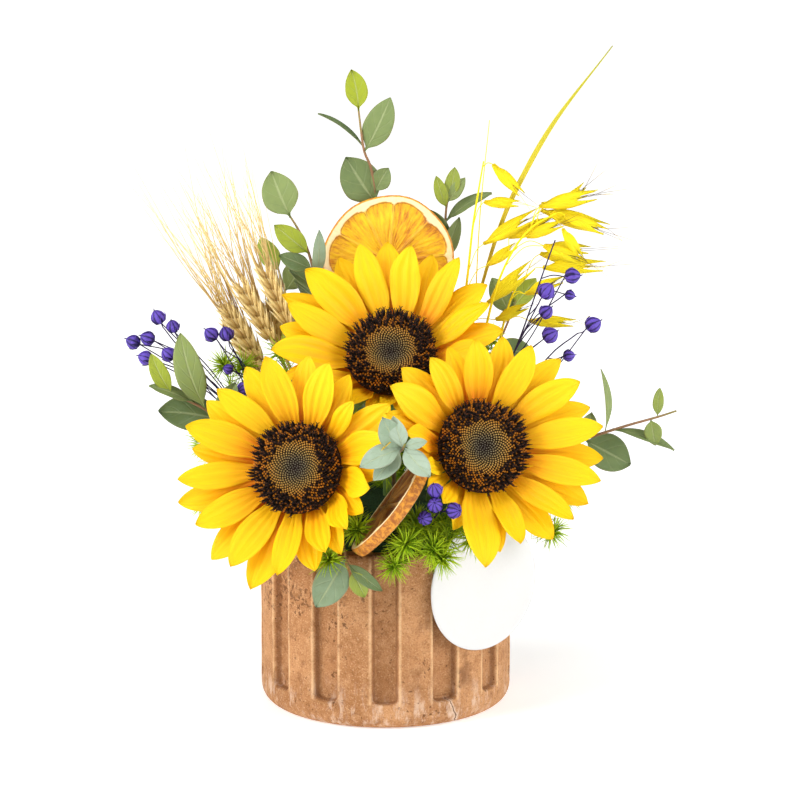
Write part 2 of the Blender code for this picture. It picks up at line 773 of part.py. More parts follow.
def build_flax(name, leaving, bends, pods):
    """A wiry stem with seed pods. A pod is its foot on the stem, its middle and its radius."""
    route = rooted(*leaving, [point(*bend) for bend in bends], FLAX_STEM_RADIUS)
    centres = [route[0], *smooth_curve(route[1:], 2)]
    bm = bmesh.new()
    spans = add_tube(bm, centres, [FLAX_STEM_RADIUS] * len(centres), 5)
    for foot, middle, size in pods:
        span = nearest_span(centres, point(*foot))
        base = (centres[span] + centres[span + 1]) / 2
        pod = point(*middle)
        axis = (pod - base).normalized()
        radius = FLAX_POD_RADIUS * size
        corners = open_side(bm, spans[span], axis)
        neck = pod - axis * radius
        sections = [
            round_section(neck, axis, 0.4 * MM, 4),
            round_section(pod - axis * radius * 0.62, axis, radius * 0.78, 8),
            round_section(pod + axis * radius * 0.1, axis, radius, 8),
            round_section(pod + axis * radius * 0.7, axis, radius * 0.68, 8),
        ]
        grow(bm, corners, sections, pod + axis * radius * 1.12)
    finish_object(name, bm, material("purple_flax", (0.12, 0.05, 0.45), 0.6))


def build_fern(name, leaving, bends, plume_radius, bare_share=0.3):
    """A soft plume: a bare foot, then a sleeve of needles that tapers to its tip."""
    route = rooted(*leaving, [point(*bend) for bend in bends], FERN_STEM_RADIUS)
    centres = [route[0], *smooth_curve(route[1:], 2)]
    count = len(centres)
    radii = []
    for i in range(count):
        share = i / (count - 1)
        if share <= bare_share:
            radii.append(FERN_STEM_RADIUS)
            continue
        grown = (share - bare_share) / (1 - bare_share)
        fullness = math.sin(math.pi * min(1, 0.18 + 0.78 * grown)) ** 0.6
        radii.append(max(FERN_STEM_RADIUS, plume_radius * MM * fullness))
    bm = bmesh.new()
    add_tube(bm, centres, radii, 6)
    finish_object(name, bm, material("fern_green", (0.16, 0.42, 0.05), 0.7))


def build_fillers():
    face = (0, -1, 0.15)
    build_eucalyptus(
        "eucalyptus_top",
        (-6, 20),
        [(-6, 26, 150), (-4, 30, 200), (-4, 30, 228), (-6.5, 25, 250), (-10, 20, 260),
         (-11.5, 17, 270), (-13, 17, 283)],
        [
            ((-5, 25, 236), (-19, 26, 257), 18, face),
            ((-5, 25, 238), (1.5, 25, 252), 9, face),
            ((-10, 18, 260), (2.4, 16, 286), 13, face),
            ((-10, 18, 262), (-32, 19, 278), 5, (0.6, -0.4, 1)),
            ((-12.5, 17, 280), (-16, 16, 299), 10, face),
            ((-13, 17, 282), (-9, 17, 291), 5, face),
            ((-4, 27, 205), (-20, 38, 222), 15, (0, 1, 0.5)),
            ((-4, 27, 180), (14, 41, 196), 15, (0, 1, 0.5)),
        ],
    )
    build_eucalyptus(
        "eucalyptus_upper_left",
        (-14, 8),
        [(-20, 8, 150), (-31, 5, 194), (-36, 2, 214), (-40, 1, 224), (-46, 0, 234)],
        [
            ((-44, 0, 232), (-53, -1, 253), 16, face),
            ((-36, 2, 212), (-52, -2, 228), 10, face),
            ((-32, 4, 200), (-31, -4, 226), 7, (0.6, -1, 0)),
            ((-34, 4, 204), (-50, 3, 213), 8, face),
            ((-30, 5, 192), (-46, 8, 205), 9, (0, -0.4, 1)),
            ((-28, 6, 186), (-44, 22, 198), 13, (0, 1, 0.6)),
        ],
    )
    build_eucalyptus(
        "eucalyptus_upper_right",
        (12, 26),
        [(17, 32, 150), (24, 33, 192), (28, 32, 216), (29, 30, 232), (31, 29, 240)],
        [
            ((29, 30, 232), (24, 27, 248), 6, face),
            ((30, 29, 236), (33, 28, 252), 7, face),
            ((30, 30, 234), (38, 28, 247), 6, face),
            ((28, 32, 212), (20, 29, 232), 14, face),
            ((27, 32, 208), (35, 29, 228), 8, (0.4, -1, 0)),
            ((29, 31, 226), (51, 29, 239), 8, (0, -0.6, 1)),
            ((22, 33, 185), (14, 46, 200), 14, (0, 1, 0.5)),
        ],
    )
    build_eucalyptus(
        "eucalyptus_right",
        (36, 4),
        [(62, 2, 112), (86, -3, 123), (100, -8, 129), (114, -10, 134), (128, -10, 138),
         (137, -10, 141)],
        [
            ((105, -9, 131), (101, -10, 161), 5, (1, -0.8, 0)),
            ((107, -9, 131), (136, -11, 122), 7, (0, -0.5, 1)),
            ((92, -6, 126), (116, -5, 114), 17, (0, -1, 0.5)),
            ((92, -6, 126), (97, -12, 141), 8, face),
            ((124, -10, 137), (127, -13, 125), 8, face),
            ((128, -10, 138), (129, -9, 152), 5, face),
            ((78, 0, 120), (92, 14, 108), 12, (0, 0.5, 1)),
        ],
    )
    build_eucalyptus(
        "eucalyptus_left",
        (-36, 3),
        [(-58, 2, 114), (-74, -3, 132), (-85, -7, 141), (-96, -9, 147), (-104, -10, 150)],
        [
            ((-90, -8, 144), (-111, -12, 153), 8, (0, -0.6, 1)),
            ((-78, -4, 135), (-107, -8, 140), 17, (0, -1, 0.6)),
            ((-84, -7, 141), (-96, -9, 178), 13, face),
            ((-100, -10, 149), (-110, -8, 168), 8, face),
            ((-78, -5, 136), (-70, -11, 155), 10, face),
            ((-62, 1, 120), (-74, 16, 118), 12, (0, 0.5, 1)),
        ],
    )
    build_eucalyptus(
        "eucalyptus_centre",
        (4, -23),
        [(4, -31, 120), (4, -46, 128), (6.5, -65, 133), (8, -77, 137), (9, -82, 140)],
        [
            ((8, -76, 136), (-1, -84, 153), 11, face),
            ((8.5, -79, 138), (4, -82, 153), 8, (-0.3, -1, 0)),
            ((8, -77, 136), (-11, -84, 130), 10, (0, -1, 0.6)),
            ((8.5, -79, 138), (20, -86, 126), 10, (0.3, -1, 0.5)),
            ((7, -73, 136), (-5, -84, 124), 9, (0, -1, 0.6)),
            ((9, -80, 139), (19, -84, 142), 5, face),
        ],
    )
    build_eucalyptus(
        "eucalyptus_rim",
        (-17, -35),
        [(-20, -53, 95), (-19, -63, 90), (-17, -70, 83), (-14, -72, 79)],
        [
            ((-16, -68, 86), (-31, -73, 63), 15, (-0.2, -1, 0.2)),
            ((-16, -70, 83), (-1, -75, 71), 6, face),
            ((-15, -71, 80), (-9, -74, 68), 8, face),
        ],
    )
    build_eucalyptus(
        "eucalyptus_back_left",
        (-18, 30),
        [(-26, 40, 125), (-38, 50, 155), (-48, 56, 182), (-54, 58, 202)],
        [
            ((-28, 42, 130), (-16, 58, 142), 15, (0, 1, 0.4)),
            ((-30, 44, 135), (-50, 52, 140), 15, (0, 1, 0.4)),
            ((-40, 52, 160), (-26, 62, 174), 14, (0, 1, 0.4)),
            ((-42, 53, 165), (-62, 58, 174), 13, (0, 1, 0.4)),
            ((-50, 57, 188), (-40, 62, 204), 12, (0, 1, 0.3)),
            ((-53, 58, 198), (-62, 60, 214), 10, (0, 1, 0.3)),
        ],
    )
    build_eucalyptus(
        "eucalyptus_back_right",
        (20, 30),
        [(32, 42, 122), (46, 50, 146), (58, 54, 168), (64, 55, 184)],
        [
            ((34, 44, 126), (20, 58, 138), 15, (0, 1, 0.4)),
            ((38, 46, 132), (58, 54, 128), 15, (0, 1, 0.4)),
            ((48, 51, 150), (36, 62, 166), 14, (0, 1, 0.4)),
            ((52, 52, 156), (72, 56, 158), 13, (0, 1, 0.4)),
            ((61, 55, 176), (52, 60, 194), 11, (0, 1, 0.3)),
            ((63, 55, 182), (74, 57, 194), 10, (0, 1, 0.3)),
        ],
    )
    build_wheat("wheat_1", (-32, 14), [(-46, 16, 130), (-60, 16, 160)], (-75, 16, 184),
                [(-116, 20, 254), (-108, 18, 243), (-98, 20, 250)])
    build_wheat("wheat_2", (-26, 16), [(-38, 16, 134), (-54, 14, 170)], (-68, 14, 196),
                [(-98, 18, 262), (-88, 15, 268), (-92, 12, 240)])
    build_wheat("wheat_3", (-20, 18), [(-32, 14, 140), (-46, 11, 178)], (-57, 11, 204),
                [(-80, 15, 264), (-69, 15, 254), (-74, 10, 246)])
    build_wheat("wheat_4", (-22, 26), [(-36, 24, 134), (-48, 22, 160)], (-58, 24, 186),
                [(-72, 22, 262), (-84, 24, 250)])
    build_wheat("wheat_5", (-32, 26), [(-48, 32, 130), (-62, 34, 152)], (-75, 36, 174),
                [(-104, 40, 226), (-94, 38, 236)])
    build_oats(
        "oats_1",
        (22, 20),
        [(32, 14, 150), (38, 9, 195), (41, 7, 225), (44, 6, 245), (46, 6, 257)],
        [
            ((46, 6, 254), (50, 2, 256), (64, -3, 242)),
            ((41, 7, 226), (46, 3, 238), (63, -2, 238)),
            ((39, 8, 206), (46, 5, 218), (72, 5, 233)),
            ((38, 9, 194), (48, 4, 208), (62, 4, 218)),
        ],
    )
    build_oats(
        "oats_2",
        (30, 12),
        [(42, 6, 150), (50, 2, 190), (58, 1, 212), (68, 1, 226), (80, 2, 233)],
        [
            ((60, 1, 216), (66, 0, 222), (84, 0, 229)),
            ((69, 1, 228), (73, 3, 237), (99, 4, 241)),
            ((77, 2, 231), (82, 6, 234), (94, 8, 246)),
            ((79, 2, 232), (84, 2, 232), (104, 2, 224)),
            ((76, 2, 230), (83, 0, 226), (92, -1, 212)),
        ],
    )
    build_oats(
        "oats_3",
        (34, 18),
        [(48, 12, 140), (56, 7, 180), (62, 5, 198), (70, 4, 206)],
        [
            ((60, 5, 194), (66, 6, 194), (84, 6, 201)),
            ((68, 4, 204), (74, 4, 207), (104, 3, 208)),
            ((67, 4, 203), (73, 8, 213), (92, 8, 210)),
        ],
    )
    build_blade("grass_blade", (26, 22), [(34, 22, 150), (46, 16, 198), (54, 10, 226),
                (63, 4, 248), (79, 0, 277), (105, 0, 311)], 3.2, 1.4)
    build_flax(
        "flax_left_1",
        (-40, 10),
        [(-62, 6, 128), (-84, 3, 154), (-98, 1, 170), (-104, 0, 178)],
        [
            ((-104, 0, 177), (-107, -1, 184), 1),
            ((-98, 1, 170), (-100, -3, 180), 0.9),
            ((-94, 1, 166), (-112, -1, 174), 1),
            ((-88, 2, 159), (-119, 1, 172), 1),
        ],
    )
    build_flax(
        "flax_left_2",
        (-40, -3),
        [(-62, -1, 126), (-80, -2, 148), (-94, -3, 158), (-104, -3, 162)],
        [
            ((-104, -3, 162), (-113, -3, 165), 1),
            ((-92, -3, 157), (-102, -5, 167), 1),
            ((-84, -2, 151), (-93, -6, 163), 0.9),
        ],
    )
    build_flax(
        "flax_left_3",
        (-29, 4),
        [(-44, 2, 130), (-60, 0, 152), (-72, -1, 168)],
        [
            ((-72, -1, 167), (-75, -1, 176), 1),
            ((-68, -1, 162), (-82, -2, 176), 1),
            ((-60, 0, 152), (-67, -8, 151), 0.9),
            ((-63, 0, 156), (-74, -5, 160), 0.7),
        ],
    )
    build_flax(
        "flax_right_1",
        (36, 12),
        [(50, 2, 140), (62, -6, 172), (68, -9, 190), (74, -10, 208), (79, -10, 222)],
        [
            ((67, -9, 186), (75, -11, 198), 1.15),
            ((64, -8, 178), (75, -10, 188), 0.95),
            ((60, -6, 168), (77, -10, 177), 1.1),
            ((72, -10, 203), (87, -10, 205), 1.05),
            ((71, -10, 199), (86, -10, 196), 0.7),
        ],
    )
    build_flax(
        "flax_right_2",
        (42, 8),
        [(58, -4, 138), (76, -9, 166), (90, -10, 178)],
        [
            ((89, -10, 177), (97, -10, 182), 1.1),
            ((70, -8, 158), (76, -15, 159), 1),
            ((76, -9, 166), (86, -8, 167), 0.8),
        ],
    )
    build_flax(
        "flax_front",
        (17, -32),
        [(21, -50, 99), (23, -64, 103), (25, -74, 109)],
        [
            ((25, -73, 109), (22.5, -79, 118.5), 0.95),
            ((24, -70, 107), (22.5, -80, 112), 0.95),
            ((23, -63, 103), (18, -78, 105.5), 0.9),
            ((25, -72, 108), (31, -80, 109.5), 1),
        ],
    )
    build_fern("fern_front", (14, -37), [(12, -54, 94), (9, -66, 92), (4, -73, 82)], 5)
    build_fern("fern_front_right", (24, -35), [(28, -52, 94), (28, -64, 92), (26, -76, 86)], 5)
    build_fern("fern_front_left", (-24, -32), [(-27, -50, 92), (-26, -62, 90), (-25, -70, 84)], 5)
    build_fern("fern_right", (38, -20), [(56, -28, 98), (68, -36, 96), (78, -42, 90)], 6)
    build_fern("fern_left", (-41, -14), [(-60, -18, 104), (-76, -24, 118), (-84, -28, 130)], 6)
    build_fern("fern_upper_left", (-44, 20), [(-62, 22, 116), (-72, 22, 138), (-78, 22, 158)], 6)
    build_fern("fern_side_right", (44, 2), [(62, 10, 98), (78, 16, 104), (90, 20, 114)], 7)
    build_fern("fern_back", (0, 36), [(0, 50, 110), (-2, 60, 126), (-4, 64, 150)], 8)
    build_fern("fern_rim_left", (-16, 40), [(-22, 56, 97), (-28, 68, 100), (-32, 76, 110)], 8)
    build_fern("fern_rim_right", (16, 40), [(22, 56, 97), (28, 68, 100), (34, 76, 110)], 8)
    build_fern("fern_back_left", (-24, 36), [(-50, 40, 104), (-66, 46, 112), (-80, 48, 124)], 8)
    build_fern("fern_back_right", (38, 26), [(56, 36, 102), (70, 42, 110), (84, 42, 124)], 8)


def main():
    clear_scene()
    build_pot()
    build_liner()
    build_sunflower(
        "sunflower_top", point(2.7, -18, 169.6), -3, 36, TOP_RAYS, 0,
        (2, -8), [point(2, -5, 125), point(3, -3, 148)],
    )
    build_sunflower(
        "sunflower_left", point(-40, -54, 123), -14, 20, LEFT_RAYS, 0,
        (-20, -22), [],
    )
    build_sunflower(
        "sunflower_right", point(44.4, -54, 132.7), 14, 20, RIGHT_RAYS, -14,
        (22, -20), [],
    )
    build_orange_slices()
    build_card()
    build_fillers()
    build_foam()


main()
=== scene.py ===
# Sunflowers with dried orange, grasses and greenery in a fluted clay pot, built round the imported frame.
import math
import random

import bpy
from mathutils import Matrix, Vector


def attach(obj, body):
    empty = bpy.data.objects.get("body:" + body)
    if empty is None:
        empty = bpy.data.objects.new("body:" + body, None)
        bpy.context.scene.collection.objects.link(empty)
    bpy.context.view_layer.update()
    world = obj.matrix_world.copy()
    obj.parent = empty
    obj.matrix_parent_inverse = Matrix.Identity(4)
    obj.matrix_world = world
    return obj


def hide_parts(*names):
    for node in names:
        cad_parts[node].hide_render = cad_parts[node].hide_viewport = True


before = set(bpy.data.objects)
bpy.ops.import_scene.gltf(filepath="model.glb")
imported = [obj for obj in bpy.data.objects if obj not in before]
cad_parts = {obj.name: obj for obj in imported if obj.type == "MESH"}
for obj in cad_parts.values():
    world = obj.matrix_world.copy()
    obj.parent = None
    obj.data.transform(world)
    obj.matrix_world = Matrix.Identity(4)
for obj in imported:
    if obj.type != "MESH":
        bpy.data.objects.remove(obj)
for leftover in ("Cube", "Light", "Camera"):
    if leftover in bpy.data.objects:
        bpy.data.objects.remove(bpy.data.objects[leftover])
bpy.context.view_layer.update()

mm = 0.001
up = Vector((0, 0, 1))
front = Vector((0, -1, 0))
goldenTurn = math.pi * (3 - math.sqrt(5))


def at(x, y, z):
    return Vector((x, y, z)) * mm


# A socket that can stand in a sum: each operation adds its Math node.
class Sig:
    def __init__(self, graph, socket):
        self.graph = graph
        self.socket = socket

    def calc(self, operation, first, second=0.0):
        return self.graph.add("ShaderNodeMath", {"operation": operation}, {0: first, 1: second})

    def __add__(self, other):
        return self.calc("ADD", self, other)

    def __radd__(self, other):
        return self.calc("ADD", other, self)

    def __sub__(self, other):
        return self.calc("SUBTRACT", self, other)

    def __rsub__(self, other):
        return self.calc("SUBTRACT", other, self)

    def __mul__(self, other):
        return self.calc("MULTIPLY", self, other)

    def __truediv__(self, other):
        return self.calc("DIVIDE", self, other)

    def __pow__(self, other):
        return self.calc("POWER", self, other)

    def __abs__(self):
        return self.calc("ABSOLUTE", self)

    def sin(self):
        return self.calc("SINE", self)

    def cos(self):
        return self.calc("COSINE", self)

    def over(self, limit):
        return self.calc("GREATER_THAN", self, limit)

    def fraction(self):
        return self.calc("FRACT", self)

    # 0 below low, 1 above high, and a soft step between
    def rise(self, low, high):
        return self.graph.add(
            "ShaderNodeMapRange", {"interpolation_type": "SMOOTHSTEP"},
            {"Value": self, "From Min": low, "From Max": high},
        )


class Graph:
    def __init__(self, tree):
        self.tree = tree

    # One node: its settings first, then the values or links of its sockets.
    def add(self, kind, settings=None, values=None, output=0):
        made = self.tree.nodes.new(kind)
        for name, setting in (settings or {}).items():
            if name == "stops":
                self.setStops(made.color_ramp.elements, setting)
            elif name == "curve":
                self.setCurve(made.mapping, setting)
            else:
                setattr(made, name, setting)
        for name, value in (values or {}).items():
            links = value if isinstance(value, list) else [value]
            for link in links:
                if isinstance(link, Sig):
                    self.tree.links.new(link.socket, made.inputs[name])
                else:
                    made.inputs[name].default_value = link
        return Sig(self, made.outputs[output])

    def setStops(self, elements, stops):
        while len(elements) < len(stops):
            elements.new(1)
        for element, (share, colour) in zip(elements, stops):
            element.position = share
            element.color = (*colour, 1)

    def setCurve(self, mapping, points):
        curve = mapping.curves[0]
        while len(curve.points) < len(points):
            curve.points.new(1, 1)
        for knot, place in zip(curve.points, points):
            knot.location = place
        mapping.update()

    def vector(self, operation, first, second=(0, 0, 0)):
        return self.add("ShaderNodeVectorMath", {"operation": operation}, {0: first, 1: second})

    def scaled(self, vector, size):
        return self.add("ShaderNodeVectorMath", {"operation": "SCALE"}, {0: vector, "Scale": size})

    def joined(self, x, y, z):
        return self.add("ShaderNodeCombineXYZ", None, {0: x, 1: y, 2: z})

    def parts(self, vector):
        first = self.add("ShaderNodeSeparateXYZ", None, {0: vector})
        sockets = first.socket.node.outputs
        return [Sig(self, sockets[i]) for i in range(3)]


# A Principled material whose colour, roughness and bump come from sums.
class Finish(Graph):
    def __init__(self, name, **fixed):
        self.material = bpy.data.materials.new(name)
        self.material.use_nodes = True
        super().__init__(self.material.node_tree)
        self.skin = self.tree.nodes["Principled BSDF"]
        for label, value in fixed.items():
            self.skin.inputs[label.replace("_", " ")].default_value = value
        self.spot = self.add("ShaderNodeTexCoord", output="Object")

    def grain(self, vector, scale, detail=3.0, rough=0.5):
        return self.add(
            "ShaderNodeTexNoise", None,
            {"Vector": vector, "Scale": scale, "Detail": detail, "Roughness": rough},
        )

    # across, along and tone, as kept on the mesh
    def place(self):
        return self.parts(self.add("ShaderNodeAttribute", {"attribute_name": "place"}, output="Vector"))

    # a mix of two colours, each of them plain or a link
    def blend(self, share, one, other):
        one, other = ((*colour, 1) if isinstance(colour, tuple) else colour for colour in (one, other))
        return self.add("ShaderNodeMix", {"data_type": "RGBA"}, {0: share, 6: one, 7: other}, 2)

    def ramp(self, share, stops):
        return self.add("ShaderNodeValToRGB", {"stops": stops}, {0: share})

    def wear(self, colour, roughness, height=None, depth=0.2 * mm):
        self.tree.links.new(colour.socket, self.skin.inputs["Base Color"])
        self.tree.links.new(roughness.socket, self.skin.inputs["Roughness"])
        if height:
            bump = self.add("ShaderNodeBump", None, {"Strength": 1.0, "Distance": depth, "Height": height})
            self.tree.links.new(bump.socket, self.skin.inputs["Normal"])
        return self.material


# how far a spot stands from the upright middle, and its turn from the viewer's side
def distance(x, y):
    return (x * x + y * y) ** 0.5


def bearing(x, y):
    return x.calc("ARCTAN2", x, y * -1.0)


def shown(name, data):
    obj = bpy.data.objects.new(name, data)
    bpy.context.scene.collection.objects.link(obj)
    return obj


def store(mesh, label, values, kind="FLOAT_VECTOR"):
    made = mesh.attributes.new(label, kind, "POINT")
    made.data.foreach_set("value" if kind == "FLOAT" else "vector", values)


# Points, faces and marks of a piece. A mark is across (-1 to 1), along (0 to 1) and tone.
class Shape:
    def __init__(self):
        self.points = []
        self.faces = []
        self.marks = []

    def add(self, point, mark=(0, 0, 0)):
        self.points.append(tuple(point))
        self.marks.extend(mark)
        return len(self.points) - 1

    def wrap(self, rows, closed=True):
        for one, other in zip(rows, rows[1:]):
            count = len(one)
            for i in range(count if closed else count - 1):
                j = (i + 1) % count
                self.faces.append((one[i], one[j], other[j], other[i]))

    # rings joined into a closed skin, with a face at each end
    def skin(self, rings):
        self.wrap(rings)
        self.faces += [tuple(reversed(rings[0])), tuple(rings[-1])]

    def made(self, name, finish=None):
        mesh = bpy.data.meshes.new(name)
        mesh.from_pydata(self.points, [], self.faces)
        store(mesh, "place", self.marks)
        mesh.shade_smooth()
        if finish:
            mesh.materials.append(finish)
        return shown(name, mesh)


def turnsOf(count):
    return [math.tau * step / count for step in range(count)]


# the part of a look that stands square to an aim
def squareTo(aim, look):
    return (look - aim * look.dot(aim)).normalized()


def nearest(route, place):
    return min(route, key=lambda spot: (spot - at(*place)).length)


def smoothCurve(points, steps):
    ends = [points[0] * 2 - points[1], *points, points[-1] * 2 - points[-2]]
    curve = []
    for before, start, end, after in zip(ends, ends[1:], ends[2:], ends[3:]):
        for step in range(steps):
            t = step / steps
            curve.append((
                start * 2 + (end - before) * t
                + (before * 2 - start * 5 + end * 4 - after) * t**2
                + (start * 3 - before - end * 3 + after) * t**3
            ) / 2)
    curve.append(points[-1].copy())
    return curve


def headings(points):
    last = len(points) - 1
    return [(points[min(i + 1, last)] - points[max(i - 1, 0)]).normalized() for i in range(last + 1)]


def addTube(shape, centres, radii, sides, tone=0.5):
    aims = headings(centres)
    across = aims[0].orthogonal().normalized()
    rings = []
    for i, (centre, aim, radius) in enumerate(zip(centres, aims, radii)):
        across = squareTo(aim, across)
        third = aim.cross(across)
        mark = (0, i / (len(centres) - 1), tone)
        rings.append([
            shape.add(centre + (across * math.cos(turn) + third * math.sin(turn)) * radius, mark)
            for turn in turnsOf(sides)
        ])
    shape.skin(rings)


# A thin closed leaf along a spine. lift(across, along) raises its surface, in shares of its width.
def addBlade(shape, spine, facing, width, outline, thick, lift, tone=0.5, across=8, twist=0.0):
    last = len(spine) - 1
    rows = []
    backs = []
    for i, (middle, aim) in enumerate(zip(spine, headings(spine))):
        along = i / last
        look = facing[i] if isinstance(facing, list) else facing
        normal = squareTo(aim, look)
        side = normal.cross(aim)
        roll = twist * along
        side, normal = (
            side * math.cos(roll) + normal * math.sin(roll), normal * math.cos(roll) - side * math.sin(roll)
        )
        half = width / 2 * outline(along)
        faceRow = []
        backRow = []
        for j in range(across + 1):
            u = j / across * 2 - 1
            spot = middle + side * half * u + normal * width * lift(u, along)
            wall = normal * thick / 2 * (1 - 0.75 * abs(u) ** 3)
            faceRow.append(shape.add(spot + wall, (u, along, tone)))
            backRow.append(shape.add(spot - wall, (u, along, tone)))
        rows.append(faceRow)
        backs.append(backRow)
    shape.wrap([row[::-1] for row in rows], False)
    shape.wrap(backs, False)
    edge, under = (
        [row[0] for row in side] + side[-1][1:-1] + [row[-1] for row in reversed(side)] + side[0][-2:0:-1]
        for side in (rows, backs)
    )
    shape.wrap([under, edge])


# half width of a leaf from its foot to its tip, on a smooth line through (along, share) knots
def outlineOf(*knots):
    last = len(knots) - 1
    slopes = []
    for i in range(last + 1):
        (a, low), (b, high) = knots[max(i - 1, 0)], knots[min(i + 1, last)]
        slopes.append((high - low) / (b - a))

    def outline(along):
        i = next((i for i in range(last) if along <= knots[i + 1][0]), last - 1)
        (a, low), (b, high) = knots[i], knots[i + 1]
        span = b - a
        t = min(1, max(0, (along - a) / span))
        return max(0.01, (
            low * (2 * t**3 - 3 * t**2 + 1) + high * (3 * t**2 - 2 * t**3)
            + span * (slopes[i] * (t**3 - 2 * t**2 + t) + slopes[i + 1] * (t**3 - t**2))
        ))
    return outline


# an empty Geometry Nodes tree with named inputs, for the pieces that repeat
def newTree(name, sockets):
    tree = bpy.data.node_groups.new(name, "GeometryNodeTree")
    tree.interface.new_socket("Geometry", in_out="INPUT", socket_type="NodeSocketGeometry")
    tree.interface.new_socket("Geometry", in_out="OUTPUT", socket_type="NodeSocketGeometry")
    for label, kind in sockets:
        tree.interface.new_socket(label, in_out="INPUT", socket_type="NodeSocket" + kind)
    graph = Graph(tree)
    given = tree.nodes.new("NodeGroupInput")
    return graph, {socket.name: Sig(graph, socket) for socket in given.outputs if socket.name}


def endTree(graph, geometry, finish):
    real = graph.add("GeometryNodeRealizeInstances", None, {0: geometry})
    dressed = graph.add("GeometryNodeSetMaterial", None, {"Geometry": real, "Material": finish})
    result = graph.tree.nodes.new("NodeGroupOutput")
    graph.tree.links.new(dressed.socket, result.inputs[0])
    return graph.tree


def named(graph, label, kind="FLOAT"):
    return graph.add("GeometryNodeInputNamedAttribute", {"data_type": kind}, {"Name": label})


# copies of one shape on the chosen points, as instances
def copiesOf(graph, shape, points, turned, size, chosen=True):
    whole = graph.add("GeometryNodeObjectInfo", None, {"Object": shape}, "Geometry")
    return graph.add("GeometryNodeInstanceOnPoints", None, {
        "Points": points, "Selection": chosen, "Instance": whole, "Rotation": turned, "Scale": size,
    })


def aimed(graph, vector, turned=None, axis="Z", pivot="AUTO"):
    values = {"Vector": vector}
    if turned:
        values["Rotation"] = turned
    return graph.add("FunctionNodeAlignRotationToVector", {"axis": axis, "pivot_axis": pivot}, values)


def chance(graph, low, high, seed):
    return graph.add("FunctionNodeRandomValue", {"data_type": "FLOAT"}, {2: low, 3: high, "Seed": seed}, 1)


def stalkOf(graph, curve, sides):
    ring = graph.add("GeometryNodeCurvePrimitiveCircle", None, {"Resolution": sides, "Radius": 1.0})
    return graph.add(
        "GeometryNodeCurveToMesh", None,
        {"Curve": curve, "Profile Curve": ring, "Scale": named(graph, "thick"), "Fill Caps": True},
    )


# round stalks along chains of edges, as thick as each point says
def stalkTree():
    graph, given = newTree("stalks", [("Sides", "Int"), ("Finish", "Material")])
    curve = graph.add("GeometryNodeMeshToCurve", None, {"Mesh": given["Geometry"]})
    return endTree(graph, stalkOf(graph, curve, given["Sides"]), given["Finish"])


# needles all round a stalk, which spread into a tuft at its tip
def plumeTree():
    graph, given = newTree("plume", [
        ("Sides", "Int"), ("Needles", "Int"), ("Needle", "Object"), ("Lean", "Float"), ("Bare", "Float"),
        ("Seed", "Int"), ("Finish", "Material"),
    ])
    curve = graph.add("GeometryNodeMeshToCurve", None, {"Mesh": given["Geometry"]})
    stalk = stalkOf(graph, curve, given["Sides"])
    beads = graph.add("GeometryNodeResampleCurve", None, {"Curve": curve, "Count": given["Needles"]})
    share = graph.add("GeometryNodeSplineParameter")
    aim = graph.add("GeometryNodeInputTangent")
    side = graph.add("GeometryNodeInputNormal")
    other = graph.vector("CROSS_PRODUCT", aim, side)
    turn = graph.add("GeometryNodeInputIndex") * goldenTurn + chance(graph, -0.5, 0.5, given["Seed"])
    outward = graph.vector("ADD", graph.scaled(side, turn.cos()), graph.scaled(other, turn.sin()))
    loose = chance(graph, 0.05, 1.9, given["Seed"] + 1)
    tuft = share.rise(0.72, 1.0)
    lean = given["Lean"] * chance(graph, 0.75, 1.25, given["Seed"] + 2) * (1 - tuft) + loose * tuft
    way = graph.vector("ADD", graph.scaled(aim, lean.cos()), graph.scaled(outward, lean.sin()))
    size = chance(graph, 0.65, 1.1, given["Seed"] + 3) * (0.55 + share.rise(0.0, 0.5) * 0.45)
    clothed = share.over(given["Bare"])
    needles = copiesOf(
        graph, given["Needle"], beads, aimed(graph, way), graph.joined(size, size, size), clothed
    )
    both = graph.add("GeometryNodeJoinGeometry", None, {0: [stalk, needles]})
    return endTree(graph, both, given["Finish"])


# one shape on every point, turned to the point's own aim and lean
def scatterTree():
    graph, given = newTree("scatter", [("Shape", "Object"), ("Finish", "Material")])
    turned = aimed(graph, named(graph, "aim", "FLOAT_VECTOR"))
    turned = aimed(graph, named(graph, "lean", "FLOAT_VECTOR"), turned, "X", "Z")
    copies = copiesOf(
        graph, given["Shape"], given["Geometry"], turned, named(graph, "size", "FLOAT_VECTOR")
    )
    return endTree(graph, copies, given["Finish"])


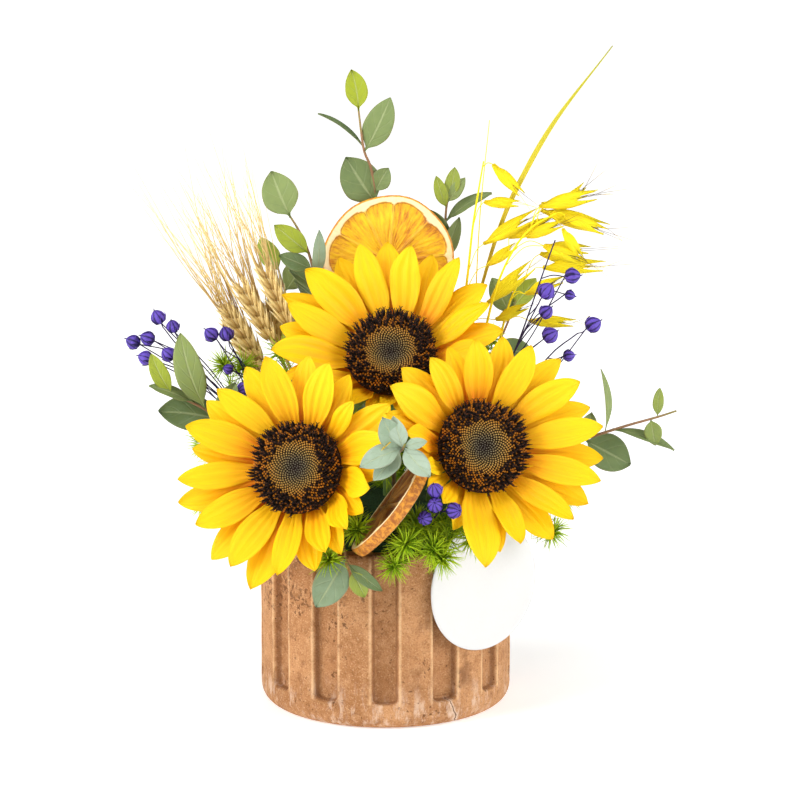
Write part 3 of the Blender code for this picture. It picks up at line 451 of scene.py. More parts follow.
# a sunflower's florets: soft buds inside and dark anther tubes outside, in golden-angle spirals
def floretTree():
    graph, given = newTree("florets", [
        ("Count", "Int"), ("Radius", "Float"), ("Rise", "Float"), ("Tubes From", "Float"),
        ("Bud", "Object"), ("Tube", "Object"), ("Seed", "Int"), ("Finish", "Material"),
    ])
    index = graph.add("GeometryNodeInputIndex")
    share = ((index + 0.5) / given["Count"]) ** 0.5
    turn = index * goldenTurn
    dome = graph.add(
        "ShaderNodeFloatCurve", {"curve": [(0, 0.36), (0.3, 0.62), (0.62, 0.9), (0.86, 0.62), (1, 0.02)]},
        {"Value": share},
    )
    reach = share * given["Radius"]
    spot = graph.joined(turn.cos() * reach, turn.sin() * reach, dome * given["Rise"])
    points = graph.add("GeometryNodePoints", None, {"Count": given["Count"], "Position": spot})
    points = graph.add(
        "GeometryNodeStoreNamedAttribute", {"data_type": "FLOAT", "domain": "POINT"},
        {"Geometry": points, "Name": "ripeness", "Value": share},
    )
    lean = share.rise(0.5, 1.05) * 0.8
    way = graph.joined(
        turn.cos() * lean + chance(graph, -0.17, 0.17, given["Seed"]),
        turn.sin() * lean + chance(graph, -0.17, 0.17, given["Seed"] + 1), 1.0,
    )
    outer = (share + chance(graph, -0.05, 0.05, given["Seed"] + 2)).over(given["Tubes From"])
    outer = outer * chance(graph, 0.0, 1.0, given["Seed"] + 5).over(0.5)
    size = chance(graph, 0.85, 1.1, given["Seed"] + 3)
    tall = size * chance(graph, 0.85, 1.4, given["Seed"] + 4) * (0.7 + share.rise(0.6, 0.9) * 0.35)
    turned = aimed(graph, way)
    tubes = copiesOf(graph, given["Tube"], points, turned, graph.joined(size, size, tall), outer)
    small = 0.7 + share * 0.62
    buds = copiesOf(graph, given["Bud"], points, turned, graph.joined(small, small, small), 1 - outer)
    both = graph.add("GeometryNodeJoinGeometry", None, {0: [given["Geometry"], tubes, buds]})
    return endTree(graph, both, given["Finish"])


# hollows that run up a turned pot, and the slight unevenness of cast clay
def fluteTree():
    graph, given = newTree("flutes", [
        ("Flutes", "Int"), ("Depth", "Float"), ("Floor Width", "Float"), ("Mouth Width", "Float"),
        ("Start", "Float"), ("Radius", "Float"), ("Unevenness", "Float"), ("Finish", "Material"),
    ])
    spot = graph.add("GeometryNodeInputPosition")
    x, y, z = graph.parts(spot)
    cell = (bearing(x, y) * given["Flutes"] / math.tau + 0.5).fraction()
    away = abs(cell - 0.5) * math.tau / given["Flutes"] * given["Radius"]
    halfMouth = given["Mouth Width"] * 0.5
    hollow = 1 - away.rise(given["Floor Width"] * 0.5, halfMouth)
    inside = (given["Radius"] - distance(x, y)).rise(1.4 * mm, 3.2 * mm)
    corner = (away / halfMouth) ** 4.0 * 2.6 * mm       # rounds both corners at a hollow's foot
    ledge = (z - corner).rise(given["Start"] - 0.6 * mm, given["Start"] + 0.9 * mm)
    depth = given["Depth"] * hollow * (1 - inside) * ledge
    bumps = graph.add("ShaderNodeTexNoise", None, {"Vector": spot, "Scale": 55.0, "Detail": 3.0})
    push = depth + (bumps - 0.5) * given["Unevenness"] * z.rise(0.0, 6 * mm)
    outward = graph.vector("NORMALIZE", graph.joined(x, y, 0.0))
    moved = graph.add("GeometryNodeSetPosition", None, {
        "Geometry": given["Geometry"], "Offset": graph.scaled(outward, push * -1.0),
    })
    return endTree(graph, moved, given["Finish"])


# runs a tree on an object, and leaves it with the plain mesh that comes out
def grown(obj, tree, **sizes):
    modifier = obj.modifiers.new("grow", "NODES")
    modifier.node_group = tree
    for item in tree.interface.items_tree:
        label = item.name.replace(" ", "")
        if item.in_out == "INPUT" and label in sizes:
            modifier[item.identifier] = sizes[label]
    bpy.context.view_layer.update()
    whole = bpy.data.meshes.new_from_object(obj.evaluated_get(bpy.context.evaluated_depsgraph_get()))
    obj.modifiers.remove(modifier)
    obj.data = whole
    whole.name = obj.name
    whole.shade_smooth()
    return obj


stalks, plumes, scatter, florets, flutes = stalkTree(), plumeTree(), scatterTree(), floretTree(), fluteTree()


def keep(obj, slot, *nodes):
    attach(obj, "root")
    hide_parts(*nodes)


# chains of edges with their thickness, for the stalks and plumes
def chainsObject(name, chains):
    points, edges, thick, marks = [], [], [], []
    for centres, radii, tone in chains:
        start = len(points)
        for i, (centre, radius) in enumerate(zip(centres, radii)):
            points.append(tuple(centre))
            thick.append(radius)
            marks.extend((0, i / (len(centres) - 1), tone))
            if i:
                edges.append((start + i - 1, start + i))
    mesh = bpy.data.meshes.new(name)
    mesh.from_pydata(points, edges, [])
    store(mesh, "thick", thick, "FLOAT")
    store(mesh, "place", marks)
    return shown(name, mesh)


# one chain that thins towards its tip: its points, their thickness and its tone
def tapering(route, thick, fall, tone, whole=1):
    count = len(route)
    return route, [thick * (whole - fall * i / count) for i in range(count)], tone


def stalksOf(name, chains, sides, finish):
    return grown(chainsObject(name, chains), stalks, Sides=sides, Finish=finishes[finish])


# single points, each with an aim, a lean and a size
def pointsObject(name, spots):
    mesh = bpy.data.meshes.new(name)
    mesh.from_pydata([tuple(spot[0]) for spot in spots], [], [])
    for i, label in ((1, "aim"), (2, "lean"), (3, "size")):
        store(mesh, label, [number for spot in spots for number in spot[i]])
    return shown(name, mesh)


def dropped(*objects):
    for obj in objects:
        bpy.data.objects.remove(obj)


print("stage: tools ready")

pot = {
    "radius": 60 * mm, "height": 83 * mm, "wall": 9 * mm, "floor": 10 * mm, "foot": 6 * mm,
    "rim": 2 * mm, "lip": 1 * mm, "flutes": 13, "depth": 3.9 * mm, "floorWidth": 9.4 * mm,
    "mouthWidth": 13.2 * mm, "start": 12.4 * mm, "unevenness": 0.7 * mm, "around": 468,
    "rowGap": 1.8 * mm, "closeGap": 0.35 * mm, "crackTurn": 0.515, "crackLean": -6.5, "crackTop": 12.5 * mm,
}


def clayFinish():
    f = Finish("pottedClay", Specular_IOR_Level=0.25)
    x, y, z = f.parts(f.spot)
    broad = f.grain(f.spot, 28.0, 4.0, 0.6)
    middle = f.grain(f.spot, 190.0, 5.0, 0.7)
    fine = f.grain(f.spot, 1300.0, 3.0, 0.65)
    colour = f.blend(broad.rise(0.35, 0.68), (0.37, 0.165, 0.062), (0.53, 0.262, 0.112))
    colour = f.blend(middle.rise(0.46, 0.72) * 0.55, colour, (0.66, 0.37, 0.18))
    colour = f.blend((1 - middle.rise(0.30, 0.46)) * 0.55, colour, (0.24, 0.095, 0.038))
    colour = f.blend(fine.rise(0.52, 0.7) * 0.6, colour, (0.20, 0.08, 0.033))
    colour = f.blend((1 - fine.rise(0.32, 0.45)) * 0.5, colour, (0.74, 0.47, 0.26))
    # lime bloom in upright smears near the foot
    smear = f.grain(f.joined(x * 2.4, y * 2.4, z * 0.7), 95.0, 5.0, 0.72)
    bloom = smear.rise(0.5, 0.66) * (1 - z.rise(8 * mm, 26 * mm))
    colour = f.blend(bloom * 0.6, colour, (0.74, 0.56, 0.43))
    # painted shade under the card's side
    # darker clay beside the card: painted shade cast by the card
    cardShade = f.grain(f.joined(x * 1.2, y * 1.2, z), 48.0, 4.0, 0.65).rise(0.44, 0.62)
    cardShade = cardShade * x.rise(4 * mm, 20 * mm) * (1 - x.rise(36 * mm, 46 * mm))
    cardShade = cardShade * (1 - z.rise(45 * mm, 65 * mm)) * z.rise(12 * mm, 22 * mm)
    colour = f.blend(cardShade * 0.7, colour, (0.17, 0.068, 0.028))
    # small ragged pits, thickest high on the left of the front
    ragged = f.grain(f.spot, 520.0, 3.0, 0.55)
    thick = (1 - x.rise(-0.02, 0.012)) * z.rise(0.036, 0.066)
    pits = ragged.rise(0.65 - thick * 0.13, 0.68 - thick * 0.13) * f.grain(f.spot, 95.0, 2.0).rise(0.40, 0.55)
    colour = f.blend(pits * 0.75, colour, (0.12, 0.045, 0.018))
    # one crack below a flute, with lime along it
    turn = bearing(x, y)
    wander = (f.grain(f.spot, 200.0, 3.0) - 0.5) * 0.12
    away = turn - pot["crackTurn"] + (pot["crackTop"] - z) * pot["crackLean"] + wander
    away = abs(away) * pot["radius"]
    low = 1 - z.rise(12 * mm, 14 * mm)
    crack = (1 - away.rise(0.1 * mm, 0.35 * mm)) * low
    colour = f.blend((1 - away.rise(0.5 * mm, 2.4 * mm)) * low * 0.6, colour, (0.78, 0.60, 0.46))
    colour = f.blend(crack, colour, (0.13, 0.05, 0.02))
    # painted shade darkens the hollows and their walls, and a painted highlight lightens their edges
    sunk = (pot["radius"] - distance(x, y)) / pot["depth"]
    outer = (1 - sunk.rise(1.3, 1.6)) * z.rise(11 * mm, 13 * mm)
    wall = sunk.rise(0.1, 0.45) * (1 - sunk.rise(0.72, 0.98)) * outer
    # painted shade deep in the hollows, and darker painted shade on their side walls
    colour = f.blend(sunk.rise(0.3, 1.0) * outer * 0.16, colour, (0.20, 0.08, 0.03))
    colour = f.blend(wall * 0.5, colour, (0.15, 0.055, 0.02))
    cell = (turn * pot["flutes"] / math.tau + 0.5).fraction()
    mouth = abs(cell - 0.5) * (math.tau * pot["radius"] / pot["flutes"]) - pot["mouthWidth"] * 0.5
    # painted highlight along the edges of each hollow, broken up by the clay's noise
    edgeHighlight = (1 - abs(mouth - 0.3 * mm).rise(0.2 * mm, 1.1 * mm)) * outer * (1 - sunk.rise(0.02, 0.2))
    colour = f.blend(edgeHighlight * (broad + middle * 1.4 - 0.75), colour, (0.80, 0.52, 0.28))
    height = fine * 0.6 + middle * 0.6 - pits * 0.9 - crack * 1.2
    return f.wear(colour, 0.8 + fine * 0.15, height, 0.7 * mm)


def petalFinish():
    f = Finish("petalYellow", Specular_IOR_Level=0.25)
    across, along, tone = f.place()
    streak = f.grain(f.joined(across * 5.5, along * 0.7, tone * 23.0), 1.6, 4.0, 0.6)
    hair = f.grain(f.joined(across * 24.0, along * 1.6, tone * 31.0), 1.5, 2.0, 0.5)
    warm = along * 1.25 + (streak - 0.5) * 0.8 + (tone - 0.5) * 0.5
    colour = f.ramp(warm, [
        (0.0, (0.82, 0.22, 0.0)), (0.2, (0.92, 0.39, 0.0)), (0.5, (0.95, 0.51, 0.0)),
        (1.0, (0.98, 0.60, 0.0)),
    ])
    colour = f.blend(hair.rise(0.5, 0.72) * 0.4, colour, (0.86, 0.36, 0.0))
    rim = abs(across).rise(0.75, 1.0) * 0.3
    colour = f.blend(rim, colour, (0.97, 0.62, 0.0))
    height = streak * 0.6 + hair * 0.25 + (across * 11.0).cos() * 0.18
    return f.wear(colour, 0.48 + streak * 0.15, height, 0.45 * mm)


def floretFinish():
    f = Finish("floretBrown", Specular_IOR_Level=0.3)
    _, along, tone = f.place()
    ripe = f.add("ShaderNodeAttribute", {"attribute_name": "ripeness"}, output="Fac")
    speck = f.grain(f.spot, 900.0, 2.0)
    tube = f.ramp(along + (speck - 0.5) * 0.3, [
        (0.0, (0.40, 0.10, 0.008)), (0.2, (0.20, 0.05, 0.006)), (0.34, (0.014, 0.006, 0.004)),
        (0.86, (0.007, 0.003, 0.002)), (1.0, (0.02, 0.008, 0.004)),
    ])
    tips = f.ramp(ripe, [
        (0.0, (0.13, 0.11, 0.10)), (0.2, (0.24, 0.20, 0.12)), (0.4, (0.46, 0.29, 0.085)),
        (0.58, (0.56, 0.27, 0.045)), (0.7, (0.62, 0.21, 0.014)),
    ])
    bud = f.blend((along + (speck - 0.5) * 0.2).rise(0.42, 0.85), (0.025, 0.010, 0.004), tips)
    colour = f.blend(tone, bud, tube)
    return f.wear(colour, 0.6 + speck * 0.25, speck, 0.15 * mm)


def greenFinish(name, dark, light, bristle=600.0):
    f = Finish(name, Specular_IOR_Level=0.3)
    _, along, _ = f.place()
    broad = f.grain(f.spot, 120.0, 3.0)
    fine = f.grain(f.spot, bristle, 3.0, 0.6)
    colour = f.blend((broad * 0.7 + along * 0.3 + (fine - 0.5) * 0.5).rise(0.2, 0.85), dark, light)
    return f.wear(colour, 0.5 + fine * 0.2, fine + broad * 0.5, 0.25 * mm)


def leafFinish():
    f = Finish("leafGrey", Specular_IOR_Level=0.35)
    across, along, tone = f.place()
    mottle = f.grain(f.spot, 260.0, 4.0, 0.6)
    side = abs(across)
    veins = (side * 9.0 - along * 26.0).sin().rise(0.86, 1.0) * (1 - side.rise(0.7, 1.0))
    midrib = 1 - side.rise(0.03, 0.1)
    colour = f.ramp(tone + (mottle - 0.5) * 0.16, [
        (0.0, (0.40, 0.49, 0.38)), (0.2, (0.25, 0.34, 0.22)), (0.4, (0.12, 0.175, 0.062)),
        (0.6, (0.21, 0.27, 0.085)), (0.82, (0.28, 0.34, 0.03)), (1.0, (0.30, 0.35, 0.006)),
    ])
    colour = f.blend(veins * 0.08 + midrib * 0.3, colour, (0.50, 0.54, 0.28))
    colour = f.blend(side.rise(0.93, 1.0) * 0.35, colour, (0.42, 0.28, 0.16))
    height = mottle * 0.4 - midrib * 0.7 - veins * 0.4
    return f.wear(colour, 0.46 + mottle * 0.2, height, 0.3 * mm)


def twigFinish():
    f = Finish("twigPink", Specular_IOR_Level=0.35)
    _, along, _ = f.place()
    mottle = f.grain(f.spot, 300.0, 4.0, 0.6)
    colour = f.ramp(along + (mottle - 0.5) * 0.5, [
        (0.0, (0.12, 0.09, 0.03)), (0.5, (0.24, 0.13, 0.06)), (0.8, (0.30, 0.16, 0.08)),
        (1.0, (0.24, 0.22, 0.05)),
    ])
    return f.wear(colour, 0.5 + mottle * 0.2, mottle, 0.2 * mm)


def strawFinish():
    f = Finish("strawGold", Specular_IOR_Level=0.4)
    across, along, tone = f.place()
    fibre = f.grain(f.joined(across * 6.0, along * 2.0, tone * 19.0), 3.0, 4.0, 0.6)
    speck = f.grain(f.spot, 420.0, 3.0, 0.6)
    colour = f.ramp(along * 0.75 + (fibre - 0.5) * 0.35 + (speck - 0.5) * 0.3 + tone * 0.2, [
        (0.0, (0.27, 0.14, 0.035)), (0.3, (0.56, 0.36, 0.115)), (0.6, (0.82, 0.62, 0.25)),
        (1.0, (0.95, 0.85, 0.54)),
    ])
    return f.wear(colour, 0.5 + fibre * 0.2, fibre + speck * 0.5, 0.25 * mm)


def huskFinish():
    f = Finish("huskYellow", Specular_IOR_Level=0.35)
    across, along, tone = f.place()
    ribs = (across * 20.0).cos()
    fibre = f.grain(f.joined(across * 7.0, along * 1.2, tone * 27.0), 2.2, 4.0, 0.6)
    colour = f.ramp(along * 0.35 + fibre * 0.5 + 0.16 + (tone - 0.5) * 0.3, [
        (0.0, (0.10, 0.055, 0.012)), (0.14, (0.62, 0.34, 0.01)), (0.32, (0.86, 0.60, 0.0)),
        (0.6, (0.96, 0.76, 0.0)), (1.0, (0.98, 0.84, 0.01)),
    ])
    return f.wear(colour, 0.5 + fibre * 0.2, ribs * 0.3 + fibre, 0.3 * mm)


def grassFinish():
    f = Finish("grassOchre", Specular_IOR_Level=0.35)
    across, along, _ = f.place()
    fibre = f.grain(f.joined(across * 4.0, along * 2.0, 0.0), 1.5, 2.0, 0.5)
    colour = f.ramp(along + (fibre - 0.5) * 0.2, [
        (0.0, (0.42, 0.27, 0.03)), (0.45, (0.58, 0.42, 0.02)), (0.7, (0.60, 0.49, 0.02)),
        (1.0, (0.46, 0.44, 0.03)),
    ])
    return f.wear(colour, 0.5 + fibre * 0.2, fibre, 0.06 * mm)


def podFinish(name, low, high):
    f = Finish(name, Specular_IOR_Level=0.3)
    across, _, tone = f.place()
    speck = f.grain(f.spot, 520.0, 4.0, 0.65)
    broad = f.grain(f.spot, 190.0, 2.0)
    # mottle, and painted light: the lobes lighter and the grooves between them darker
    mottleAndGrooveShading = (speck * 0.6 + broad * 0.4 + (tone - 0.5) * 0.3 + (across - 0.7) * 0.5).rise(0.25, 0.72)
    colour = f.blend(mottleAndGrooveShading, low, high)
    return f.wear(colour, 0.42 + speck * 0.25, speck, 0.4 * mm)


# its marks are part (0 flesh, 1 membrane), reach (0 centre, 1 rind) and turn (in segments)
def orangeFinish(name, stops, membrane, peelLight, peelDark):
    f = Finish(name, Specular_IOR_Level=0.45)
    part, reach, turn = f.place()
    z = f.parts(f.spot)[2]
    fibres = f.grain(f.joined(turn * 5.2, reach * 2.4, z * 20.0), 1.8, 5.0, 0.72)
    patch = f.grain(f.spot, 80.0, 3.0, 0.6)
    grit = f.grain(f.spot, 420.0, 4.0, 0.65)
    flesh = f.ramp(patch * 0.6 + fibres * 1.15 - 0.4 - reach.rise(0.6, 0.9) * 0.1, stops)
    colour = f.blend(part * membrane * (0.6 + grit * 0.6), flesh, (0.93, 0.60, 0.14))
    pith = reach.rise(0.82, 0.87) * part.rise(0.75, 1.0)
    colour = f.blend(pith * 0.92, colour, (0.98, 0.80, 0.46))
    # a toasted line where the flesh shrank from the pith
    line = reach.rise(0.70, 0.8) * part.rise(0.2, 0.5) * (1 - part.rise(0.6, 0.9))
    colour = f.blend(line * 0.7, colour, (0.36, 0.10, 0.008))
    peel = f.blend(grit.rise(0.35, 0.7), peelDark, peelLight)
    colour = f.blend(reach.rise(0.966, 0.99), colour, peel)
    return f.wear(colour, 0.42 + grit * 0.25, fibres + grit * 0.5 + patch * 0.4, 0.7 * mm)


def woodFinish(name, dark, light):
    f = Finish(name, Specular_IOR_Level=0.3)
    x, y, z = f.parts(f.spot)
    rings = f.grain(f.joined(x * 4.0, y * 4.0, z * 0.5), 260.0, 4.0, 0.6)
    colour = f.blend(rings.rise(0.35, 0.65), dark, light)
    return f.wear(colour, 0.55 + rings * 0.2, rings, 0.2 * mm)


def paperFinish():
    f = Finish("cardPaper", Specular_IOR_Level=0.3)
    fibre = f.grain(f.spot, 900.0, 4.0, 0.6)
    cloud = f.grain(f.spot, 60.0, 3.0, 0.6)
    colour = f.blend(fibre * 0.5 + cloud * 0.5, (0.64, 0.64, 0.635), (0.72, 0.72, 0.715))
    return f.wear(colour, 0.45 + fibre * 0.2, fibre, 0.05 * mm)


def foamFinish():
    f = Finish("foamGreen", Specular_IOR_Level=0.2)
    cells = f.add("ShaderNodeTexVoronoi", None, {"Vector": f.spot, "Scale": 900.0})
    broad = f.grain(f.spot, 70.0, 4.0, 0.6)
    # very dark green: the foam's own colour, and painted shade for the dark among the stems
    colour = f.blend(cells.rise(0.1, 0.6) * 0.6 + broad * 0.4, (0.008, 0.022, 0.010), (0.035, 0.085, 0.035))
    return f.wear(colour, 0.85 + cells * 0.1, cells + broad, 0.5 * mm)


def filmFinish():
    f = Finish("linerFilm", Specular_IOR_Level=0.5)
    folds = f.grain(f.spot, 90.0, 3.0, 0.6)
    # near black: the film's own colour, and painted shade for the dark inside the pot
    colour = f.blend(folds, (0.012, 0.018, 0.012), (0.035, 0.05, 0.03))
    return f.wear(colour, 0.25 + folds * 0.2, folds, 0.6 * mm)


finishes = {
    "clay": clayFinish(),
    "petal": petalFinish(),
    "floret": floretFinish(),
    "bract": greenFinish("bractGreen", (0.06, 0.13, 0.02), (0.24, 0.38, 0.08)),
    "flowerStem": greenFinish("stemGreen", (0.10, 0.18, 0.03), (0.30, 0.42, 0.12), 1100.0),
    "leaf": leafFinish(),
    "twig": twigFinish(),
    "straw": strawFinish(),
    "husk": huskFinish(),
    "pod": podFinish("podPurple", (0.012, 0.005, 0.07), (0.11, 0.06, 0.42)),
    "wire": podFinish("wirePurple", (0.022, 0.010, 0.06), (0.085, 0.04, 0.18)),
    "orange_slice_top": orangeFinish("orangeDry", [
        (0.1, (0.26, 0.06, 0.001)), (0.28, (0.62, 0.22, 0.001)), (0.46, (0.85, 0.46, 0.001)),
        (0.75, (0.93, 0.66, 0.003)),
    ], 0.22, (0.92, 0.42, 0.015), (0.62, 0.20, 0.01)),
    "orange_slice_front": orangeFinish("orangeBrown", [
        (0.15, (0.06, 0.016, 0.003)), (0.4, (0.16, 0.05, 0.006)), (0.6, (0.30, 0.11, 0.01)),
        (0.85, (0.50, 0.22, 0.02)),
    ], 0.3, (0.80, 0.34, 0.025), (0.34, 0.09, 0.006)),
    "grass": grassFinish(),
    "bamboo": woodFinish("pickBamboo", (0.36, 0.20, 0.08), (0.62, 0.42, 0.20)),
    "peg": woodFinish("pegWood", (0.030, 0.012, 0.008), (0.10, 0.04, 0.02)),
    "fern": greenFinish("fernGreen", (0.16, 0.33, 0.003), (0.56, 0.73, 0.008), 300.0),
    "paper": paperFinish(),
}
for node, made in (("pot_liner", filmFinish()), ("floral_foam", foamFinish())):
    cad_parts[node].material_slots[0].material = made
for node in ("orange_pick_top", "orange_pick_front"):
    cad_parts[node].material_slots[0].material = finishes["bamboo"]

print("stage: finishes ready")


def quarterTurns(steps, first=1):
    return [math.pi / 2 * step / steps for step in range(first, steps + 1)]


# from the foot, up the wall, over the rim and down to the floor inside
def potOutline():
    radius, height, foot, rim, lip = (pot[size] for size in ("radius", "height", "foot", "rim", "lip"))
    inside = radius - pot["wall"]
    outline = [(radius * 0.5, 0.0), (radius - foot * 1.3, 0.0)]
    for turn in quarterTurns(8, 0):     # rounded foot
        outline.append((radius - foot + foot * math.sin(turn), foot * 1.2 * (1 - math.cos(turn))))
    level = foot * 1.2
    while level < height - rim - 0.4 * mm:
        # rows stand closer where the flutes end
        level += pot["closeGap"] if 10 * mm < level < 16.5 * mm else pot["rowGap"]
        outline.append((radius, min(level, height - rim - 0.2 * mm)))
    for turn in quarterTurns(6):        # softened rim
        outline.append((radius - rim * (1 - math.cos(turn)), height - rim + rim * math.sin(turn)))
    for share in (0.35, 0.6, 0.85):
        outline.append((radius + (inside - radius) * share, height))
    for turn in quarterTurns(4):
        outline.append((inside + lip * (1 - math.sin(turn)), height - lip * (1 - math.cos(turn))))
    for share in (0.1, 0.25, 0.5, 0.75, 0.95, 1.0):
        outline.append((inside, height - lip + (pot["floor"] - height + lip) * share))
    return [*outline, (inside * 0.5, pot["floor"])]


def buildPot():
    shape = Shape()
    rows = [
        [
            shape.add((reach * math.sin(turn), -reach * math.cos(turn), level), (0, level / pot["height"], 0))
            for turn in turnsOf(pot["around"])
        ]
        for reach, level in potOutline()
    ]
    shape.wrap(rows)
    under = shape.add((0, 0, 0))
    well = shape.add((0, 0, pot["floor"]))
    for i in range(pot["around"]):
        j = (i + 1) % pot["around"]
        shape.faces.append((rows[0][j], rows[0][i], under))
        shape.faces.append((rows[-1][i], rows[-1][j], well))
    body = grown(
        shape.made("fluted_pot"), flutes, Flutes=pot["flutes"], Depth=pot["depth"],
        FloorWidth=pot["floorWidth"], MouthWidth=pot["mouthWidth"], Start=pot["start"],
        Radius=pot["radius"], Unevenness=pot["unevenness"], Finish=finishes["clay"],
    )
    keep(body, "fluted_clay", "pot")


buildPot()
print("stage: pot built")

foam = {
    "top": 100 * mm, "topRadius": 31 * mm, "shoulder": 87 * mm, "radius": 49.8 * mm, "depth": 24 * mm,
    "lean": 0.35, "nearest": 0.02,
}


# a stem's way: from below the foam's top it leans towards its first bend, and then follows its bends
def rooted(leaving, bends, depth=foam["depth"], steps=4):
    x, y = leaving[0] * mm, leaving[1] * mm
    share = max(0, (math.hypot(x, y) - foam["topRadius"]) / (foam["radius"] - foam["topRadius"]))
    start = Vector((x, y, foam["top"] + (foam["shoulder"] - foam["top"]) * share))
    first = bends[0] - start
    lean = Vector((first.x, first.y, 0)) * foam["lean"] / max(first.length, foam["nearest"])
    root = start - (lean * 0.6 + up) * depth
    above = start + (start - root).normalized() * 3 * mm
    return [root, *smoothCurve([above, *bends], steps)]


sunflower = {
    "disc": 21.5 * mm, "rise": 4.5 * mm, "rays": 26, "rayWidth": 0.4, "rayThick": 0.45 * mm,
    # each whorl's name, level, first place and extra rise
    "whorls": [("inner", -2.5 * mm, 1, 11), ("outer", -3.7 * mm, 0, 0)],
    "florets": 1050, "bracts": 15, "stem": 3.2 * mm, "stemDepth": 46 * mm,
}

# each ray: where its tip points on a clock face in degrees, its length in mm, how far it rises in degrees
topRays = [
    (357, 36, 20), (8, 34, 22), (23, 33, 20), (38, 37, 22), (52, 36, 20), (66, 34, 24),
    (80, 35, 24), (94, 31, 32), (108, 26, 38), (124, 24, 46), (140, 24, 48), (154, 23, 50),
    (168, 21, 48), (180, 20, 48), (193, 22, 48), (208, 25, 46), (224, 27, 40), (238, 31, 34),
    (250, 33, 28), (265, 39, 24), (279, 34, 22), (289, 35, 22), (300, 39, 20), (315, 38, 22),
    (330, 34, 20), (343, 36, 22),
]
leftRays = [
    (2, 32, 20), (15, 33, 22), (28, 31, 26), (42, 25, 34), (58, 36, 28), (74, 36, 34),
    (88, 32, 40), (102, 31, 46), (117, 28, 46), (132, 30, 42), (143, 30, 34), (155, 29, 30),
    (166, 31, 24), (178, 34, 22), (192, 40, 18), (207, 36, 20), (218, 37, 18), (232, 34, 20),
    (247, 37, 18), (260, 36, 20), (276, 30, 22), (289, 36, 20), (300, 33, 20), (314, 33, 22),
    (330, 33, 20), (344, 35, 22),
]
rightRays = [
    (346, 29, 22), (0, 31, 22), (18, 32, 20), (30, 33, 22), (42, 35, 20), (56, 35, 20),
    (70, 34, 20), (84, 37, 20), (99, 36, 18), (111, 37, 20), (120, 35, 18), (136, 34, 20),
    (149, 33, 20), (166, 31, 24), (180, 30, 26), (190, 40, 22), (206, 24, 34), (222, 22, 44),
    (238, 20, 48), (252, 20, 52), (266, 22, 50), (280, 28, 42), (288, 34, 34), (303, 38, 28),
    (316, 34, 24), (332, 31, 24),
]


def headFrame(centre, azimuth, elevation):
    turn, lift = math.radians(azimuth), math.radians(elevation)
    normal = Vector((math.sin(turn), -math.cos(turn), math.tan(lift))).normalized()
    top = squareTo(normal, up)
    turned = Matrix((top.cross(normal), top, normal)).transposed().to_4x4()
    return Matrix.Translation(centre) @ turned


def budShape():
    shape = Shape()
    profile = [(0.30, -0.9), (0.50, -0.1), (0.44, 0.5), (0.20, 0.95)]
    addTube(shape, [at(0, 0, z) for _, z in profile], [radius * mm for radius, _ in profile], 6, 0)
    return shape.made("budShape")


def tubeShape():
    shape = Shape()
    profile = [(0.42, -1.4), (0.46, 0.6), (0.58, 1.8), (0.34, 2.8)]
    addTube(shape, [at(0, 0, z) for _, z in profile], [radius * mm for radius, _ in profile], 5, 1)
    for side in (-1, 1):        # the two curled stigma branches
        centres = [at(side * 0.08, 0, 2.6), at(side * 0.5, 0.1, 3.4), at(side * 0.95, 0.25, 3.6)]
        addTube(shape, centres, [0.24 * mm, 0.19 * mm, 0.07 * mm], 3, 1)
    return shape.made("tubeShape")


def buildDisc(name, face, seed):
    shape = Shape()
    radius, rise = sunflower["disc"], sunflower["rise"]
    profile = [
        (0.70, -4.1 * mm), (0.76, -4.0 * mm), (0.76, -2.2 * mm), (0.93, -1.9 * mm), (0.97, -0.6 * mm),
        (0.86, rise * 0.42), (0.62, rise * 0.66), (0.3, rise * 0.42), (0.06, rise * 0.2),
    ]
    shape.skin([
        [
            shape.add((radius * share * math.cos(turn), radius * share * math.sin(turn), level))
            for turn in turnsOf(60)
        ]
        for share, level in profile
    ])
    bud, tube = budShape(), tubeShape()
    disc = grown(
        shape.made(name), florets, Count=sunflower["florets"], Radius=radius * 0.93, Rise=rise, TubesFrom=0.6,
        Bud=bud, Tube=tube, Seed=seed, Finish=finishes["floret"],
    )
    disc.data.transform(face)
    dropped(bud, tube)
    return disc


# a ray leaves the disc steeply, levels off and bends near its tip
def rayTrack(face, base, swing, length, lift, level, curl, sway, steps=32):
    reach, height = sunflower["disc"] * 0.97, level
    spine, looks = [], []
    for step in range(steps + 1):
        share = step / steps
        tilt = lift * min(1, 0.45 + 1.7 * share) + 10 - 22 * share + curl * max(0, share - 0.55) ** 1.5
        tilt = math.radians(tilt)
        clock = math.radians(base + swing * min(1, share * 1.6) + sway * share**2)
        spoke = Vector((math.sin(clock), math.cos(clock), 0))
        look = Vector((0, 0, math.cos(tilt))) - spoke * math.sin(tilt)
        if step == 0:
            ahead = spoke * math.cos(tilt) + Vector((0, 0, math.sin(tilt)))
            for back in (4.2, 2.1):
                spine.append(face @ (spoke * reach + Vector((0, 0, height)) - ahead * back * mm))
                looks.append(face.to_3x3() @ look)
        spine.append(face @ (spoke * reach + Vector((0, 0, height))))
        looks.append(face.to_3x3() @ look)
        reach += length / steps * math.cos(tilt)
        height += length / steps * math.sin(tilt)
    return spine, looks


rayOutline = outlineOf(
    (0, 0.5), (0.14, 0.64), (0.32, 0.9), (0.52, 1.0), (0.7, 0.91), (0.85, 0.64), (0.95, 0.31), (1, 0.04)
)


